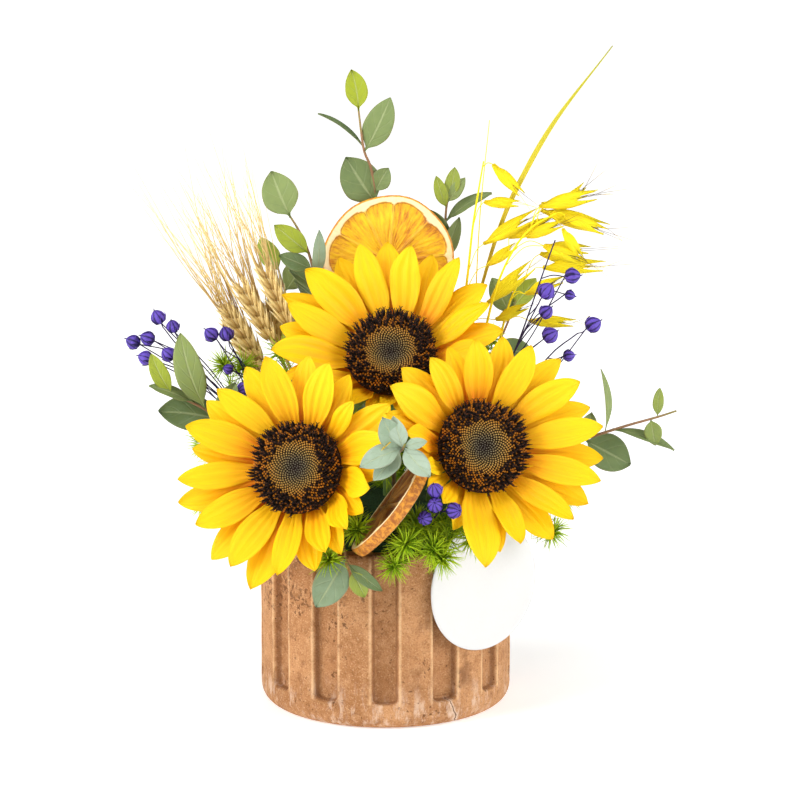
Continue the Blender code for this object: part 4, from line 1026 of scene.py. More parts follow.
def buildRays(name, face, rays, firstClock, level, parity, extraLift, rng):
    shape = Shape()
    for place in range(parity, sunflower["rays"], 2):
        clock, length, lift = rays[place]
        base = firstClock + place * 360 / sunflower["rays"]
        swing = (clock - base + 180) % 360 - 180
        spine, looks = rayTrack(
            face, base, swing, length * mm, lift + extraLift, level, rng.uniform(-70, 60), rng.uniform(-4, 4)
        )
        cup, ruffle = rng.uniform(0.02, 0.16), rng.uniform(0.015, 0.05)
        phase, waves = rng.uniform(0, 6.28), rng.uniform(7, 12)
        creases = rng.choice((3, 4, 5))

        def relief(u, along, cup=cup, ruffle=ruffle, phase=phase, waves=waves, creases=creases):
            trough = cup * (1 - 0.5 * along) * u * u
            fading = math.sin(math.pi * min(1, along * 1.15)) ** 0.5
            crease = 0.028 * math.cos(creases * math.pi * u + phase * 0.2) * fading
            wave = ruffle * abs(u) ** 3 * math.sin(waves * along + phase + (2.0 if u > 0 else 0))
            return trough + crease + wave

        addBlade(
            shape, spine, looks, length * mm * sunflower["rayWidth"] * rng.uniform(0.86, 1.12), rayOutline,
            sunflower["rayThick"], relief, rng.random(), 14, rng.uniform(-0.35, 0.35),
        )
    return shape.made(name, finishes["petal"])


def buildBracts(name, face, rng):
    shape = Shape()
    radius = sunflower["disc"]
    profile = [(0.17, -12.3), (0.22, -11.4), (0.5, -8.4), (0.8, -6.2), (0.84, -5.2), (0.6, -4.5), (0.1, -4.5)]
    shape.skin([
        [
            shape.add(
                face @ Vector((radius * share * math.cos(turn), radius * share * math.sin(turn), level * mm)),
                (0, 0.2, 0.5),
            )
            for turn in turnsOf(48)
        ]
        for share, level in profile
    ])
    outline = outlineOf((0, 0.7), (0.25, 1.0), (0.5, 0.8), (0.75, 0.4), (1, 0.03))
    for ring, (foot, low, length, bow) in enumerate(((13.0, -7.6, 19, 2.0), (9.5, -9.3, 15, 4.0))):
        for place in range(sunflower["bracts"]):
            turn = math.tau * (place + ring * 0.5) / sunflower["bracts"] + rng.uniform(-0.06, 0.06)
            spoke = Vector((math.cos(turn), math.sin(turn), 0))
            spine = []
            for step in range(9):
                share = step / 8
                reach = foot + length * rng.uniform(0.97, 1.03) * share
                level = low + bow * share * (1.5 - share)
                spine.append(face @ (spoke * reach * mm + Vector((0, 0, level * mm))))
            look = face.to_3x3() @ Vector((0, 0, 1))
            addBlade(
                shape, spine, look, 8.5 * mm, outline, 0.5 * mm,
                lambda u, along: 0.12 * u * u * (1 - along), rng.random(), 6, rng.uniform(-0.3, 0.3),
            )
    return shape.made(name, finishes["bract"])


def buildSunflower(name, centre, azimuth, elevation, rays, firstClock, leaving, bends, seed):
    rng = random.Random(seed)
    face = headFrame(at(*centre), azimuth, elevation)
    keep(buildDisc(name + "_florets", face, seed), "disc_florets", name + "_disc")
    for whorl, level, parity, extraLift in sunflower["whorls"]:
        petals = buildRays(
            name + "_" + whorl + "_petals", face, rays, firstClock, level, parity, extraLift, rng
        )
        keep(petals, "ray_petals", name + "_" + whorl + "_rays")
    keep(buildBracts(name + "_calyx", face, rng), "green_bracts", name + "_bracts")
    behind = [face @ Vector((0, 0, level * mm)) for level in (-22, -16, -11.8)]
    route = rooted(leaving, [*[at(*bend) for bend in bends], *behind], sunflower["stemDepth"])
    stem = stalksOf(name + "_stalk", [tapering(route, sunflower["stem"], 0, 0.5)], 20, "flowerStem")
    keep(stem, "flower_stem", name + "_stem")


# name, middle of the disc, azimuth, elevation, rays, first clock, where it leaves the foam, its bends, seed
for flower in (
    ("sunflower_top", (2.7, -18, 169.6), -3, 36, topRays, 0, (2, -8), [(2, -5, 125), (3, -3, 148)], 5),
    ("sunflower_left", (-40, -54, 123), -14, 20, leftRays, 0, (-20, -22), [], 6),
    ("sunflower_right", (44.4, -54, 132.7), 14, 20, rightRays, -14, (22, -20), [], 7),
):
    buildSunflower(*flower)
print("stage: sunflowers built")

slices = {"segments": 10, "around": 300, "seed": 3}
driedSlices = {
    "orange_slice_top": {
        "centre": (1.6, 17, 208), "normal": (0.05, -1, 0.2), "radius": 31.5 * mm, "thick": 4 * mm,
    },
    "orange_slice_front": {
        "centre": (3, -62, 106), "normal": (-0.79, 0.0, 0.612), "radius": 25.6 * mm, "thick": 6.2 * mm,
    },
}


def buildSlice(name, centre, normal, radius, thick, rng):
    face = Vector(normal).normalized()
    side = face.orthogonal().normalized()
    turned = Matrix.Translation(at(*centre)) @ Matrix((side, face.cross(side), face)).transposed().to_4x4()
    shape = Shape()
    phases = [rng.uniform(0, 6.28) for _ in range(4)]
    reaches = [0.14 + 0.76 * step / 30 for step in range(31)] + [0.92, 0.94, 0.955, 0.966]

    # how high the face stands, and whether it is flesh or membrane there
    def surface(turn, reach, over):
        segment = (turn / math.tau * slices["segments"] + 0.1 * math.sin(turn * 3)) % 1
        wall = abs(segment - 0.5) * 2 if reach > 0.16 else 1
        gap = min(1, (1 - wall) * reach * 9)      # 0 on a membrane
        edge = 0.905 - 0.06 * wall**3 + 0.014 * math.sin(5 * turn + phases[0])
        flesh = gap * min(1, max(0, (edge - reach) / 0.03))
        level = 0.46 - 0.26 * flesh + 0.035 * math.sin(turn * 47 + reach * 13 + phases[1]) * flesh
        if reach > 0.94:
            level -= 0.02 * ((reach - 0.94) / 0.026) ** 2
        return level * thick * over, 1 - flesh

    # where a spot of the face stands: the rim wobbles, the middle is a star and the whole is warped
    def placed(turn, reach, level):
        wobble = 1 + 0.012 * math.sin(3 * turn + phases[1]) + 0.007 * math.sin(7 * turn + phases[0])
        star = 1 + 0.3 * math.cos(slices["segments"] * turn / 2) * max(0, 1 - (reach - 0.14) * 12)
        out = radius * reach * wobble * star
        warp = 0.7 * mm * math.sin(2 * turn + phases[2]) * reach
        return turned @ Vector((math.cos(turn) * out, math.sin(turn) * out, level + warp))

    def markOf(part, reach, turn):
        return part, reach, turn / math.tau * slices["segments"]

    def rowAt(reach, over):
        row = []
        for turn in turnsOf(slices["around"]):
            level, part = surface(turn, reach, over)
            row.append(shape.add(placed(turn, reach, level), markOf(part, reach, turn)))
        return row

    backs = [rowAt(reach, -1) for reach in reversed(reaches)][::-1]
    faces = [rowAt(reach, 1) for reach in reaches]
    rim = []
    for level in (-0.42, -0.3, -0.15, 0.0, 0.15, 0.3, 0.42):
        row = []
        for turn in turnsOf(slices["around"]):
            bulge = 1 - 0.012 * (level / 0.42) ** 4 + 0.004 * math.sin(41 * turn + level * 30)
            row.append(shape.add(placed(turn, bulge, level * thick), markOf(1, 1, turn)))
        rim.append(row)
    shape.wrap([*backs, *rim, *faces[::-1], backs[0]])
    keep(shape.made(name + "_dried", finishes[name]), "dried_orange", name)


for name, sizes in driedSlices.items():
    buildSlice(name, rng=random.Random(slices["seed"]), **sizes)

# the blank card leans on the pot, and its peg runs from its hole into the foam
card = {
    "radius": 31 * mm, "thick": 0.8 * mm, "hole": 3.4 * mm, "holeDrop": 6.5 * mm, "azimuth": 37,
    "gap": 0.7 * mm, "aside": 11.5 * mm, "height": 65 * mm, "bend": 0.25 * mm,
}


def buildCard():
    azimuth = math.radians(card["azimuth"])
    normal = Vector((math.sin(azimuth), -math.cos(azimuth), 0))
    side = up.cross(normal)
    centre = normal * (pot["radius"] + card["gap"]) + side * card["aside"] + up * card["height"]
    turned = Matrix.Translation(centre) @ Matrix((side, up, normal)).transposed().to_4x4()
    hole = Vector((0, card["radius"] - card["holeDrop"], 0))
    half = card["thick"] / 2
    shape = Shape()
    rows = []
    # how far each ring stands in from the edge, its level, and 1 for the edge or 0 for the hole
    steps = [
        (0, -half * 0.6, 1), (0, half * 0.6, 1), (0.12 * mm, half, 1), (2 * mm, half, 1),
        (2 * mm, half, 0), (0.1 * mm, half, 0), (0, half * 0.6, 0), (0, -half * 0.6, 0),
        (0.1 * mm, -half, 0), (2 * mm, -half, 0), (2 * mm, -half, 1), (0.12 * mm, -half, 1),
    ]
    for inset, level, outer in steps:
        row = []
        for turn in turnsOf(128):
            spoke = Vector((math.cos(turn), math.sin(turn), 0))
            spot = spoke * (card["radius"] - inset) if outer else hole + spoke * (card["hole"] + inset)
            bend = card["bend"] * (spot.x / card["radius"]) ** 2
            row.append(shape.add(turned @ (spot + Vector((0, 0, level + bend)))))
        rows.append(row)
    shape.wrap([*rows, rows[0]])
    keep(shape.made("blank_card", finishes["paper"]), "white_card", "round_card")

    # the peg fills the hole, and runs on down into the foam
    head = turned @ (hole + Vector((0, 0, 2 * mm)))
    neck = turned @ (hole + Vector((0, 0, -2 * mm)))
    inward = (neck - head).normalized() * 17 * mm - up * 4 * mm
    thick = card["hole"] - 0.3 * mm
    ahead = (head - neck).normalized()
    centres = [
        head + ahead * 0.1 * mm, head, head - ahead * 0.35 * mm, neck, neck + inward * 0.3,
        neck + inward * 1.7,
    ]
    peg = Shape()
    addTube(peg, centres[::-1], [1.05 * mm, 1.5 * mm, thick, thick, thick * 0.94, thick * 0.8], 36)
    keep(peg.made("wood_peg", finishes["peg"]), "dark_wood", "card_peg")


buildCard()
print("stage: orange slices and card built")

eucalyptus = {"stem": 1.1 * mm, "thick": 0.5 * mm, "fuller": 1.06, "seed": 21}
viewer = (0, -1, 0.15)

# name, where it leaves the foam, its bends, and its leaves: foot, tip, width, facing and tone
sprigs = [
    ("eucalyptus_top", (-6, 20),
     [(-6, 26, 150), (-4, 30, 200), (-4, 30, 228), (-6.5, 25, 250), (-10, 20, 260), (-11.5, 17, 270),
      (-13, 17, 283)],
     [((-5, 25, 236), (-19, 26, 257), 18, viewer, 0.45), ((-5, 25, 238), (1.5, 25, 252), 9, viewer, 0.5),
      ((-10, 18, 260), (2.4, 16, 286), 13, viewer, 0.52),
      ((-10, 18, 262), (-32, 19, 278), 5, (0.6, -0.4, 1), 0.4),
      ((-12.5, 17, 280), (-16, 16, 299), 10, viewer, 0.95),
      ((-13, 17, 282), (-9, 17, 291), 5, viewer, 0.9),
      ((-4, 27, 205), (-20, 38, 222), 15, (0, 1, 0.5), 0.4),
      ((-4, 27, 180), (14, 41, 196), 15, (0, 1, 0.5), 0.35),
      ((-6, 24, 126), (-15, 17, 148), 20, viewer, 0.36), ((-6, 24, 122), (8, 17, 104), 18, viewer, 0.36),
      ((-6, 24, 138), (7, 15, 156), 17, viewer, 0.36)]),
    ("eucalyptus_upper_left", (-14, 8),
     [(-20, 8, 150), (-31, 5, 194), (-36, 2, 214), (-40, 1, 224), (-46, 0, 234)],
     [((-44, 0, 232), (-53, -1, 253), 16, viewer, 0.58), ((-36, 2, 212), (-52, -2, 228), 10, viewer, 0.88),
      ((-32, 4, 200), (-31, -4, 226), 7, (0.6, -1, 0), 0.2),
      ((-34, 4, 204), (-50, 3, 213), 8, viewer, 0.4), ((-30, 5, 192), (-46, 8, 205), 9, (0, -0.4, 1), 0.4),
      ((-28, 6, 186), (-44, 22, 198), 13, (0, 1, 0.6), 0.4)]),
    ("eucalyptus_upper_right", (12, 26),
     [(17, 32, 150), (24, 33, 192), (28, 32, 216), (29, 30, 232), (31, 29, 240)],
     [((29, 30, 232), (24, 27, 248), 6, viewer, 0.8), ((30, 29, 236), (33, 28, 252), 7, viewer, 0.75),
      ((30, 30, 234), (38, 28, 247), 6, viewer, 0.6), ((28, 32, 212), (20, 29, 232), 14, viewer, 0.42),
      ((27, 32, 208), (35, 29, 228), 8, (0.4, -1, 0), 0.5),
      ((29, 31, 226), (51, 29, 239), 8, (0, -0.6, 1), 0.5),
      ((22, 33, 185), (14, 46, 200), 14, (0, 1, 0.5), 0.4)]),
    ("eucalyptus_right", (36, 4),
     [(62, 2, 112), (86, -3, 123), (100, -8, 129), (114, -10, 134), (128, -10, 138), (137, -10, 141)],
     [((105, -9, 131), (101, -10, 161), 5, (1, -0.8, 0), 0.6),
      ((107, -9, 131), (136, -11, 122), 7, (0, -0.5, 1), 0.5),
      ((92, -6, 126), (116, -5, 114), 17, (0, -1, 0.5), 0.42),
      ((92, -6, 126), (97, -12, 141), 8, viewer, 0.5), ((124, -10, 137), (127, -13, 125), 8, viewer, 0.65),
      ((128, -10, 138), (129, -9, 152), 5, viewer, 0.7),
      ((78, 0, 120), (92, 14, 108), 12, (0, 0.5, 1), 0.4)]),
    ("eucalyptus_left", (-36, 3),
     [(-58, 2, 114), (-74, -3, 132), (-85, -7, 141), (-96, -9, 147), (-104, -10, 150)],
     [((-90, -8, 144), (-111, -12, 153), 8, (0, -0.6, 1), 0.55),
      ((-78, -4, 135), (-107, -8, 140), 17, (0, -1, 0.6), 0.4),
      ((-84, -7, 141), (-96, -9, 178), 13, viewer, 0.62),
      ((-100, -10, 149), (-110, -8, 168), 8, viewer, 0.85),
      ((-78, -5, 136), (-70, -11, 155), 10, viewer, 0.5),
      ((-62, 1, 120), (-74, 16, 118), 12, (0, 0.5, 1), 0.4)]),
    ("eucalyptus_centre", (4, -23),
     [(4, -31, 120), (4, -46, 128), (6.5, -65, 133), (8, -77, 137), (9, -82, 140)],
     [((8, -76, 136), (-1, -84, 153), 11, viewer, 0.16),
      ((8.5, -79, 138), (4, -82, 153), 8, (-0.3, -1, 0), 0.05),
      ((8, -77, 136), (-11, -84, 130), 10, (0, -1, 0.6), 0.1),
      ((8.5, -79, 138), (20, -86, 126), 10, (0.3, -1, 0.5), 0.05),
      ((7, -73, 136), (-5, -84, 124), 9, (0, -1, 0.6), 0.12),
      ((9, -80, 139), (19, -84, 142), 5, viewer, 0.1)]),
    ("eucalyptus_rim", (-17, -35), [(-20, -53, 95), (-19, -63, 90), (-17, -70, 83), (-14, -72, 79)],
     [((-16, -68, 86), (-31, -73, 63), 15, (-0.2, -1, 0.2), 0.28),
      ((-16, -70, 83), (-1, -75, 71), 6, viewer, 0.4), ((-15, -71, 80), (-9, -74, 68), 8, viewer, 0.75)]),
    ("eucalyptus_back_left", (-18, 30), [(-26, 40, 125), (-38, 50, 155), (-48, 56, 182), (-54, 58, 202)],
     [((-28, 42, 130), (-16, 58, 142), 15, (0, 1, 0.4), 0.4),
      ((-30, 44, 135), (-50, 52, 140), 15, (0, 1, 0.4), 0.5),
      ((-40, 52, 160), (-26, 62, 174), 14, (0, 1, 0.4), 0.4),
      ((-42, 53, 165), (-62, 58, 174), 13, (0, 1, 0.4), 0.55),
      ((-50, 57, 188), (-40, 62, 204), 12, (0, 1, 0.3), 0.6),
      ((-53, 58, 198), (-62, 60, 214), 10, (0, 1, 0.3), 0.8)]),
    ("eucalyptus_back_right", (20, 30), [(32, 42, 122), (46, 50, 146), (58, 54, 168), (64, 55, 184)],
     [((34, 44, 126), (20, 58, 138), 15, (0, 1, 0.4), 0.4),
      ((38, 46, 132), (58, 54, 128), 15, (0, 1, 0.4), 0.45),
      ((48, 51, 150), (36, 62, 166), 14, (0, 1, 0.4), 0.5),
      ((52, 52, 156), (72, 56, 158), 13, (0, 1, 0.4), 0.4),
      ((61, 55, 176), (52, 60, 194), 11, (0, 1, 0.3), 0.6),
      ((63, 55, 182), (74, 57, 194), 10, (0, 1, 0.3), 0.85)]),
]
leafOutline = outlineOf(
    (0, 0.07), (0.09, 0.1), (0.2, 0.56), (0.36, 0.93), (0.5, 1.0), (0.7, 0.87), (0.86, 0.55), (0.96, 0.2),
    (1, 0.03)
)


def buildSprig(name, leaving, bends, leaves, rng):
    route = rooted(leaving, [at(*bend) for bend in bends])
    stem = stalksOf(name + "_twig", [tapering(route, eucalyptus["stem"], 0.5, 0.5, 0.9)], 12, "twig")
    shape = Shape()
    for foot, tip, width, facing, tone in leaves:
        base = nearest(route, foot)
        end = at(*tip)
        way = end - base
        look = Vector(facing).normalized()
        normal = (look - way * look.dot(way) / way.length_squared).normalized()
        sag = way.length * rng.uniform(0.04, 0.09)
        sway = normal.cross(way).normalized() * way.length * rng.uniform(-0.04, 0.04)
        spine = []
        for step in range(21):
            share = step / 20
            spine.append(base + way * share + (normal * sag + sway) * math.sin(math.pi * share))
        fold, phase = rng.uniform(0.03, 0.12), rng.uniform(0, 6)

        def relief(u, along, fold=fold, phase=phase):
            return fold * abs(u) ** 1.5 + 0.02 * abs(u) ** 2 * math.sin(9 * along + phase + u)

        addBlade(
            shape, spine, normal, width * eucalyptus["fuller"] * mm, leafOutline, eucalyptus["thick"], relief,
            tone, 10,
        )
    keep(stem, "eucalyptus", name)
    keep(shape.made(name + "_leaves", finishes["leaf"]), "eucalyptus", name)


rng = random.Random(eucalyptus["seed"])
for sprig in sprigs:
    buildSprig(*sprig, rng)
print("stage: eucalyptus built")

wheat = {"straw": 1.0 * mm, "spikelets": 18, "awn": 0.36 * mm, "seed": 31}
# name, where it leaves the foam, its bends, the ear's tip and where its awns end
ears = [
    ("wheat_1", (-32, 14), [(-46, 16, 130), (-60, 16, 160)], (-75, 16, 184),
     [(-116, 20, 254), (-108, 18, 243), (-98, 20, 250)]),
    ("wheat_2", (-26, 16), [(-38, 16, 134), (-54, 14, 170)], (-68, 14, 196),
     [(-98, 18, 262), (-88, 15, 268), (-92, 12, 240)]),
    ("wheat_3", (-20, 18), [(-32, 14, 140), (-46, 11, 178)], (-57, 11, 204),
     [(-80, 15, 264), (-69, 15, 254), (-74, 10, 246)]),
    ("wheat_4", (-22, 26), [(-36, 24, 134), (-48, 22, 160)], (-58, 24, 186),
     [(-72, 22, 262), (-84, 24, 250)]),
    ("wheat_5", (-32, 26), [(-48, 32, 130), (-62, 34, 152)], (-75, 36, 174),
     [(-104, 40, 226), (-94, 38, 236)]),
]


def grainShape():
    shape = Shape()
    profile = [(0.3, 0.0), (0.8, 1.6), (1.0, 3.8), (0.8, 6.4), (0.36, 9.0), (0.08, 11.5)]
    for aside, lean in ((-0.9, -0.16), (0.9, 0.16), (0.0, 0.0)):
        centres = [at(aside + lean * z * 0.6, 0.5 if aside == 0 else -0.1, z) for _, z in profile]
        radii = [radius * mm * (0.85 if aside else 1) for radius, _ in profile]
        addTube(shape, centres, radii, 7, 0.5 + aside * 0.3)
    return shape.made("grainShape")


def buildEar(name, leaving, bends, earTip, awnTips, rng):
    bends = [at(*bend) for bend in bends]
    foot, tip = bends[-1], at(*earTip)
    straw = rooted(leaving, [*bends, foot.lerp(tip, 0.5), tip])
    thick = [wheat["straw"] * (1 - 0.5 * (i / len(straw)) ** 3) for i in range(len(straw))]
    chains = [(straw, thick, 0.35)]
    axis = (tip - foot).normalized()
    side = front.cross(axis).normalized()
    spots = []
    tips = [at(*awn) for awn in awnTips]
    for place in range(wheat["spikelets"]):
        share = place / (wheat["spikelets"] - 1)
        out = side * (1 if place % 2 else -1) + front.lerp(-front, (place // 2) % 2) * 0.55
        out = squareTo(axis, out)
        spot = foot + (tip - foot) * (share * 0.9) + out * 0.9 * mm
        aim = (axis + out * 0.34).normalized()
        size = 0.72 + 0.3 * math.sin(math.pi * (0.15 + 0.75 * share))
        spots.append((spot, aim, out, (size, size, size)))
        way = tips[place % len(tips)] - foot
        reach = way.length * rng.uniform(0.8, 1.12) * (0.86 + 0.14 * share)
        far = way.normalized() + side * rng.uniform(-0.12, 0.12) + front * rng.uniform(-0.09, 0.09)
        start = spot + aim * 6 * mm * size
        end = foot + far.normalized() * reach
        awn = smoothCurve([start, start.lerp(end, 0.4) + out * 2.0 * mm, end], 6)
        chains.append(tapering(awn, wheat["awn"], 0.72, rng.uniform(0.2, 0.8)))
    straws = stalksOf(name + "_straw_and_awns", chains, 5, "straw")
    grain = grainShape()
    ear = grown(pointsObject(name + "_ear", spots), scatter, Shape=grain, Finish=finishes["straw"])
    dropped(grain)
    keep(straws, "dried_wheat", name)
    keep(ear, "dried_wheat", name)


rng = random.Random(wheat["seed"])
for ear in ears:
    buildEar(*ear, rng)
print("stage: wheat built")

oats = {
    "stem": 0.8 * mm, "thread": 0.22 * mm, "husk": 4.8 * mm, "thick": 0.25 * mm, "bow": 0.34,
    "awn": 0.16 * mm, "bare": 0.42 * mm, "seed": 41,
}
# how far each of a spikelet's husks leans aside, its share of the length and the way it turns
husks = ((0.075, 1.0, 1), (-0.085, 0.95, -1), (0.01, 0.8, 1))
# name, where it leaves the foam, its bends, and its spikelets: foot of the thread, start and tip
oatStalks = [
    ("oats_1", (22, 20), [(32, 14, 150), (38, 9, 195), (41, 7, 225), (44, 6, 245), (46, 6, 257)],
     [((46, 6, 254), (50, 2, 256), (64, -3, 242)), ((41, 7, 226), (46, 3, 238), (63, -2, 238)),
      ((39, 8, 206), (46, 5, 218), (72, 5, 233)), ((38, 9, 194), (48, 4, 208), (62, 4, 218)),
      ((38, 9, 188), (48, 4, 190), (70, 4, 209)), ((37, 10, 176), (52, 5, 182), (68, 5, 189))]),
    ("oats_2", (30, 12), [(42, 6, 150), (50, 2, 190), (58, 1, 212), (68, 1, 226), (80, 2, 233)],
     [((60, 1, 216), (66, 0, 222), (84, 0, 229)), ((69, 1, 228), (73, 3, 237), (99, 4, 241)),
      ((77, 2, 231), (82, 6, 234), (94, 8, 246)), ((79, 2, 232), (84, 2, 232), (104, 2, 224)),
      ((76, 2, 230), (83, 0, 226), (92, -1, 212)), ((68, 1, 226), (72, 2, 236), (100, 2, 242)),
      ((68, 1, 226), (73, 5, 234), (105, 5, 225)), ((60, 1, 214), (75, 6, 217), (97, 6, 215)),
      ((58, 1, 212), (58, 6, 221), (82, 6, 230)), ((56, 1, 208), (74, -1, 218), (94, -1, 210))]),
    ("oats_3", (34, 18), [(48, 12, 140), (56, 7, 180), (62, 5, 198), (70, 4, 206)],
     [((60, 5, 194), (66, 6, 194), (84, 6, 201)), ((68, 4, 204), (74, 4, 207), (104, 3, 208)),
      ((67, 4, 203), (73, 8, 213), (92, 8, 210)), ((60, 5, 192), (66, 1, 195), (84, 1, 202)),
      ((56, 7, 178), (68, 2, 182), (90, 2, 181))]),
]
huskOutline = outlineOf((0, 0.12), (0.12, 0.5), (0.32, 1.0), (0.55, 0.84), (0.8, 0.36), (1, 0.03))


def buildOats(name, leaving, bends, spikelets, rng):
    route = rooted(leaving, [at(*bend) for bend in bends])
    chains = [tapering(route, oats["stem"], 0.6, 0.3)]
    shape = Shape()
    for foot, start, tip in spikelets:
        base = nearest(route, foot)
        begin, end = at(*start), at(*tip)
        hook = base.lerp(begin, 0.5) + up * (begin - base).length * 0.2
        chains.append(tapering(smoothCurve([base, hook, begin], 5), oats["thread"], 0, 0.5))
        way = end - begin
        look = (front - way * front.dot(way) / way.length_squared).normalized()
        side = look.cross(way).normalized()
        for spread, share, turn in husks:
            reach = way * share + side * way.length * spread
            bowed = side * way.length * spread * 0.5
            spine = [
                begin + reach * (step / 12) + bowed * math.sin(math.pi * step / 12) for step in range(13)
            ]
            normal = (look * 0.9 + side * turn * 0.45).normalized()
            addBlade(
                shape, spine, normal, oats["husk"] * rng.uniform(0.8, 1.05), huskOutline, oats["thick"],
                lambda u, along: -oats["bow"] * u * u * (1 - 0.6 * along), rng.random(), 8,
                rng.uniform(-0.15, 0.15),
            )
        for _ in range(2):
            far = end + way.normalized() * rng.uniform(6, 15) * mm + side * rng.uniform(-4, 4) * mm
            awn = smoothCurve([begin + way * 0.5, begin + way * 0.9 + side * rng.uniform(-1, 1) * mm, far], 5)
            chains.append(tapering(awn, oats["awn"], 0.6, rng.choice((-1.6, -1.6, 0.4))))
    if name == "oats_1":        # a bare straight stalk beside the highest oats
        bare = [at(39, 10, 165), at(42.1, 12, 180.7), at(44.7, 14, 230.7), at(48.9, 14, 275.5)]
        chains.append(tapering(smoothCurve(bare, 5), oats["bare"], 0.6, -0.35))
    keep(stalksOf(name + "_stalks", chains, 6, "husk"), "yellow_oats", name)
    keep(shape.made(name + "_husks", finishes["husk"]), "yellow_oats", name)


rng = random.Random(oats["seed"])
for stalk in oatStalks:
    buildOats(*stalk, rng)

# the one tall blade that stands among the oats
grass = {
    "width": 3.3 * mm, "thick": 0.5 * mm,
    "bends": [(34, 22, 150), (46, 16, 198), (54, 10, 226), (63, 4, 248), (79, 0, 277), (105, 0, 311)],
}


def buildGrassBlade():
    spine = rooted((26, 22), [at(*bend) for bend in grass["bends"]], steps=8)
    shape = Shape()
    outline = outlineOf((0, 0.3), (0.3, 0.42), (0.55, 0.7), (0.78, 0.8), (1, 0.05))
    addBlade(
        shape, spine, front, grass["width"], outline, grass["thick"],
        lambda u, along: 0.28 * abs(u) * (1 - 0.5 * along), 0.1, 6, 0.5,
    )
    keep(shape.made("grass_blade_long", finishes["grass"]), "yellow_oats", "grass_blade")


buildGrassBlade()
print("stage: oats and grass built")

flax = {"wire": 0.46 * mm, "pod": 3.5 * mm, "lobes": 8, "seed": 51}
# name, where it leaves the foam, its bends, and its pods: foot of the wire, middle and size
flaxStems = [
    ("flax_left_1", (-40, 10), [(-62, 6, 128), (-84, 3, 154), (-98, 1, 170), (-104, 0, 178)],
     [((-104, 0, 177), (-107, -1, 184), 1), ((-98, 1, 170), (-100, -3, 180), 0.9),
      ((-94, 1, 166), (-112, -1, 174), 1), ((-88, 2, 159), (-119, 1, 172), 1)]),
    ("flax_left_2", (-40, -3), [(-62, -1, 126), (-80, -2, 148), (-94, -3, 158), (-104, -3, 162)],
     [((-104, -3, 162), (-113, -3, 165), 1), ((-92, -3, 157), (-102, -5, 167), 1),
      ((-84, -2, 151), (-93, -6, 163), 0.9)]),
    ("flax_left_3", (-29, 4), [(-44, 2, 130), (-60, 0, 152), (-72, -1, 168)],
     [((-72, -1, 167), (-75, -1, 176), 1), ((-68, -1, 162), (-82, -2, 176), 1),
      ((-60, 0, 152), (-67, -8, 151), 0.9), ((-63, 0, 156), (-74, -5, 160), 0.7)]),
    ("flax_right_1", (36, 12),
     [(50, 2, 140), (62, -6, 172), (68, -9, 190), (74, -10, 208), (79, -10, 222)],
     [((67, -9, 186), (75, -11, 198), 1.15), ((64, -8, 178), (75, -10, 188), 0.95),
      ((60, -6, 168), (77, -10, 177), 1.1), ((72, -10, 203), (87, -10, 205), 1.05),
      ((71, -10, 199), (86, -10, 196), 0.7)]),
    ("flax_right_2", (42, 8), [(58, -4, 138), (76, -9, 166), (90, -10, 178)],
     [((89, -10, 177), (97, -10, 182), 1.1), ((70, -8, 158), (76, -15, 159), 1),
      ((76, -9, 166), (86, -8, 167), 0.8)]),
    ("flax_front", (17, -32), [(21, -50, 99), (23, -64, 103), (25, -74, 109)],
     [((25, -73, 109), (22.5, -79, 118.5), 0.95), ((24, -70, 107), (22.5, -80, 112), 0.95),
      ((23, -63, 103), (18, -78, 105.5), 0.9), ((25, -72, 108), (31, -80, 109.5), 1)]),
]


def addPod(shape, middle, axis, radius, rng):
    side = axis.orthogonal().normalized()
    other = axis.cross(side)
    tone, swell = rng.random(), rng.uniform(0, 6)
    rings = []
    for place in range(1, 14):
        fall = math.pi * place / 14
        ring = []
        for turn in turnsOf(48):
            groove = abs(math.cos(flax["lobes"] * turn / 2)) ** 0.45
            lobe = 0.93 + 0.10 * groove * math.sin(fall) + 0.025 * math.sin(turn * 3 + swell)
            peak = 0.16 * max(0, -math.cos(fall)) ** 5
            reach = radius * math.sin(fall) * lobe
            level = -math.cos(fall) * radius * (0.94 + peak)
            spot = middle + (side * math.cos(turn) + other * math.sin(turn)) * reach + axis * level
            # the groove share, kept as the mark's across, also paints the grooves darker and the lobes
            # lighter
            ring.append(shape.add(spot, (groove, place / 14, tone)))
        rings.append(ring)
    shape.skin(rings)
    outline = outlineOf((0, 0.6), (0.4, 1.0), (1, 0.05))
    for lobe in range(5):       # calyx tips at the foot
        turn = math.tau * (lobe + 0.5) / 5
        spoke = side * math.cos(turn) + other * math.sin(turn)
        spine = [
            middle - axis * radius * 0.95 + spoke * radius * 0.1,
            middle - axis * radius * 0.72 + spoke * radius * 0.75,
            middle - axis * radius * 0.22 + spoke * radius * 1.04,
            middle + axis * radius * 0.22 + spoke * radius * 1.12,
        ]
        addBlade(
            shape, spine, spoke, radius * 0.62, outline, 0.2 * mm, lambda u, along: -0.1 * u * u, tone, 4
        )
    beak = [middle + axis * radius * 0.85, middle + axis * radius * 1.2]
    beak.append(middle + axis * radius * 1.42 + side * radius * 0.1)
    addTube(shape, beak, [0.5 * mm, 0.3 * mm, 0.08 * mm], 5, tone)


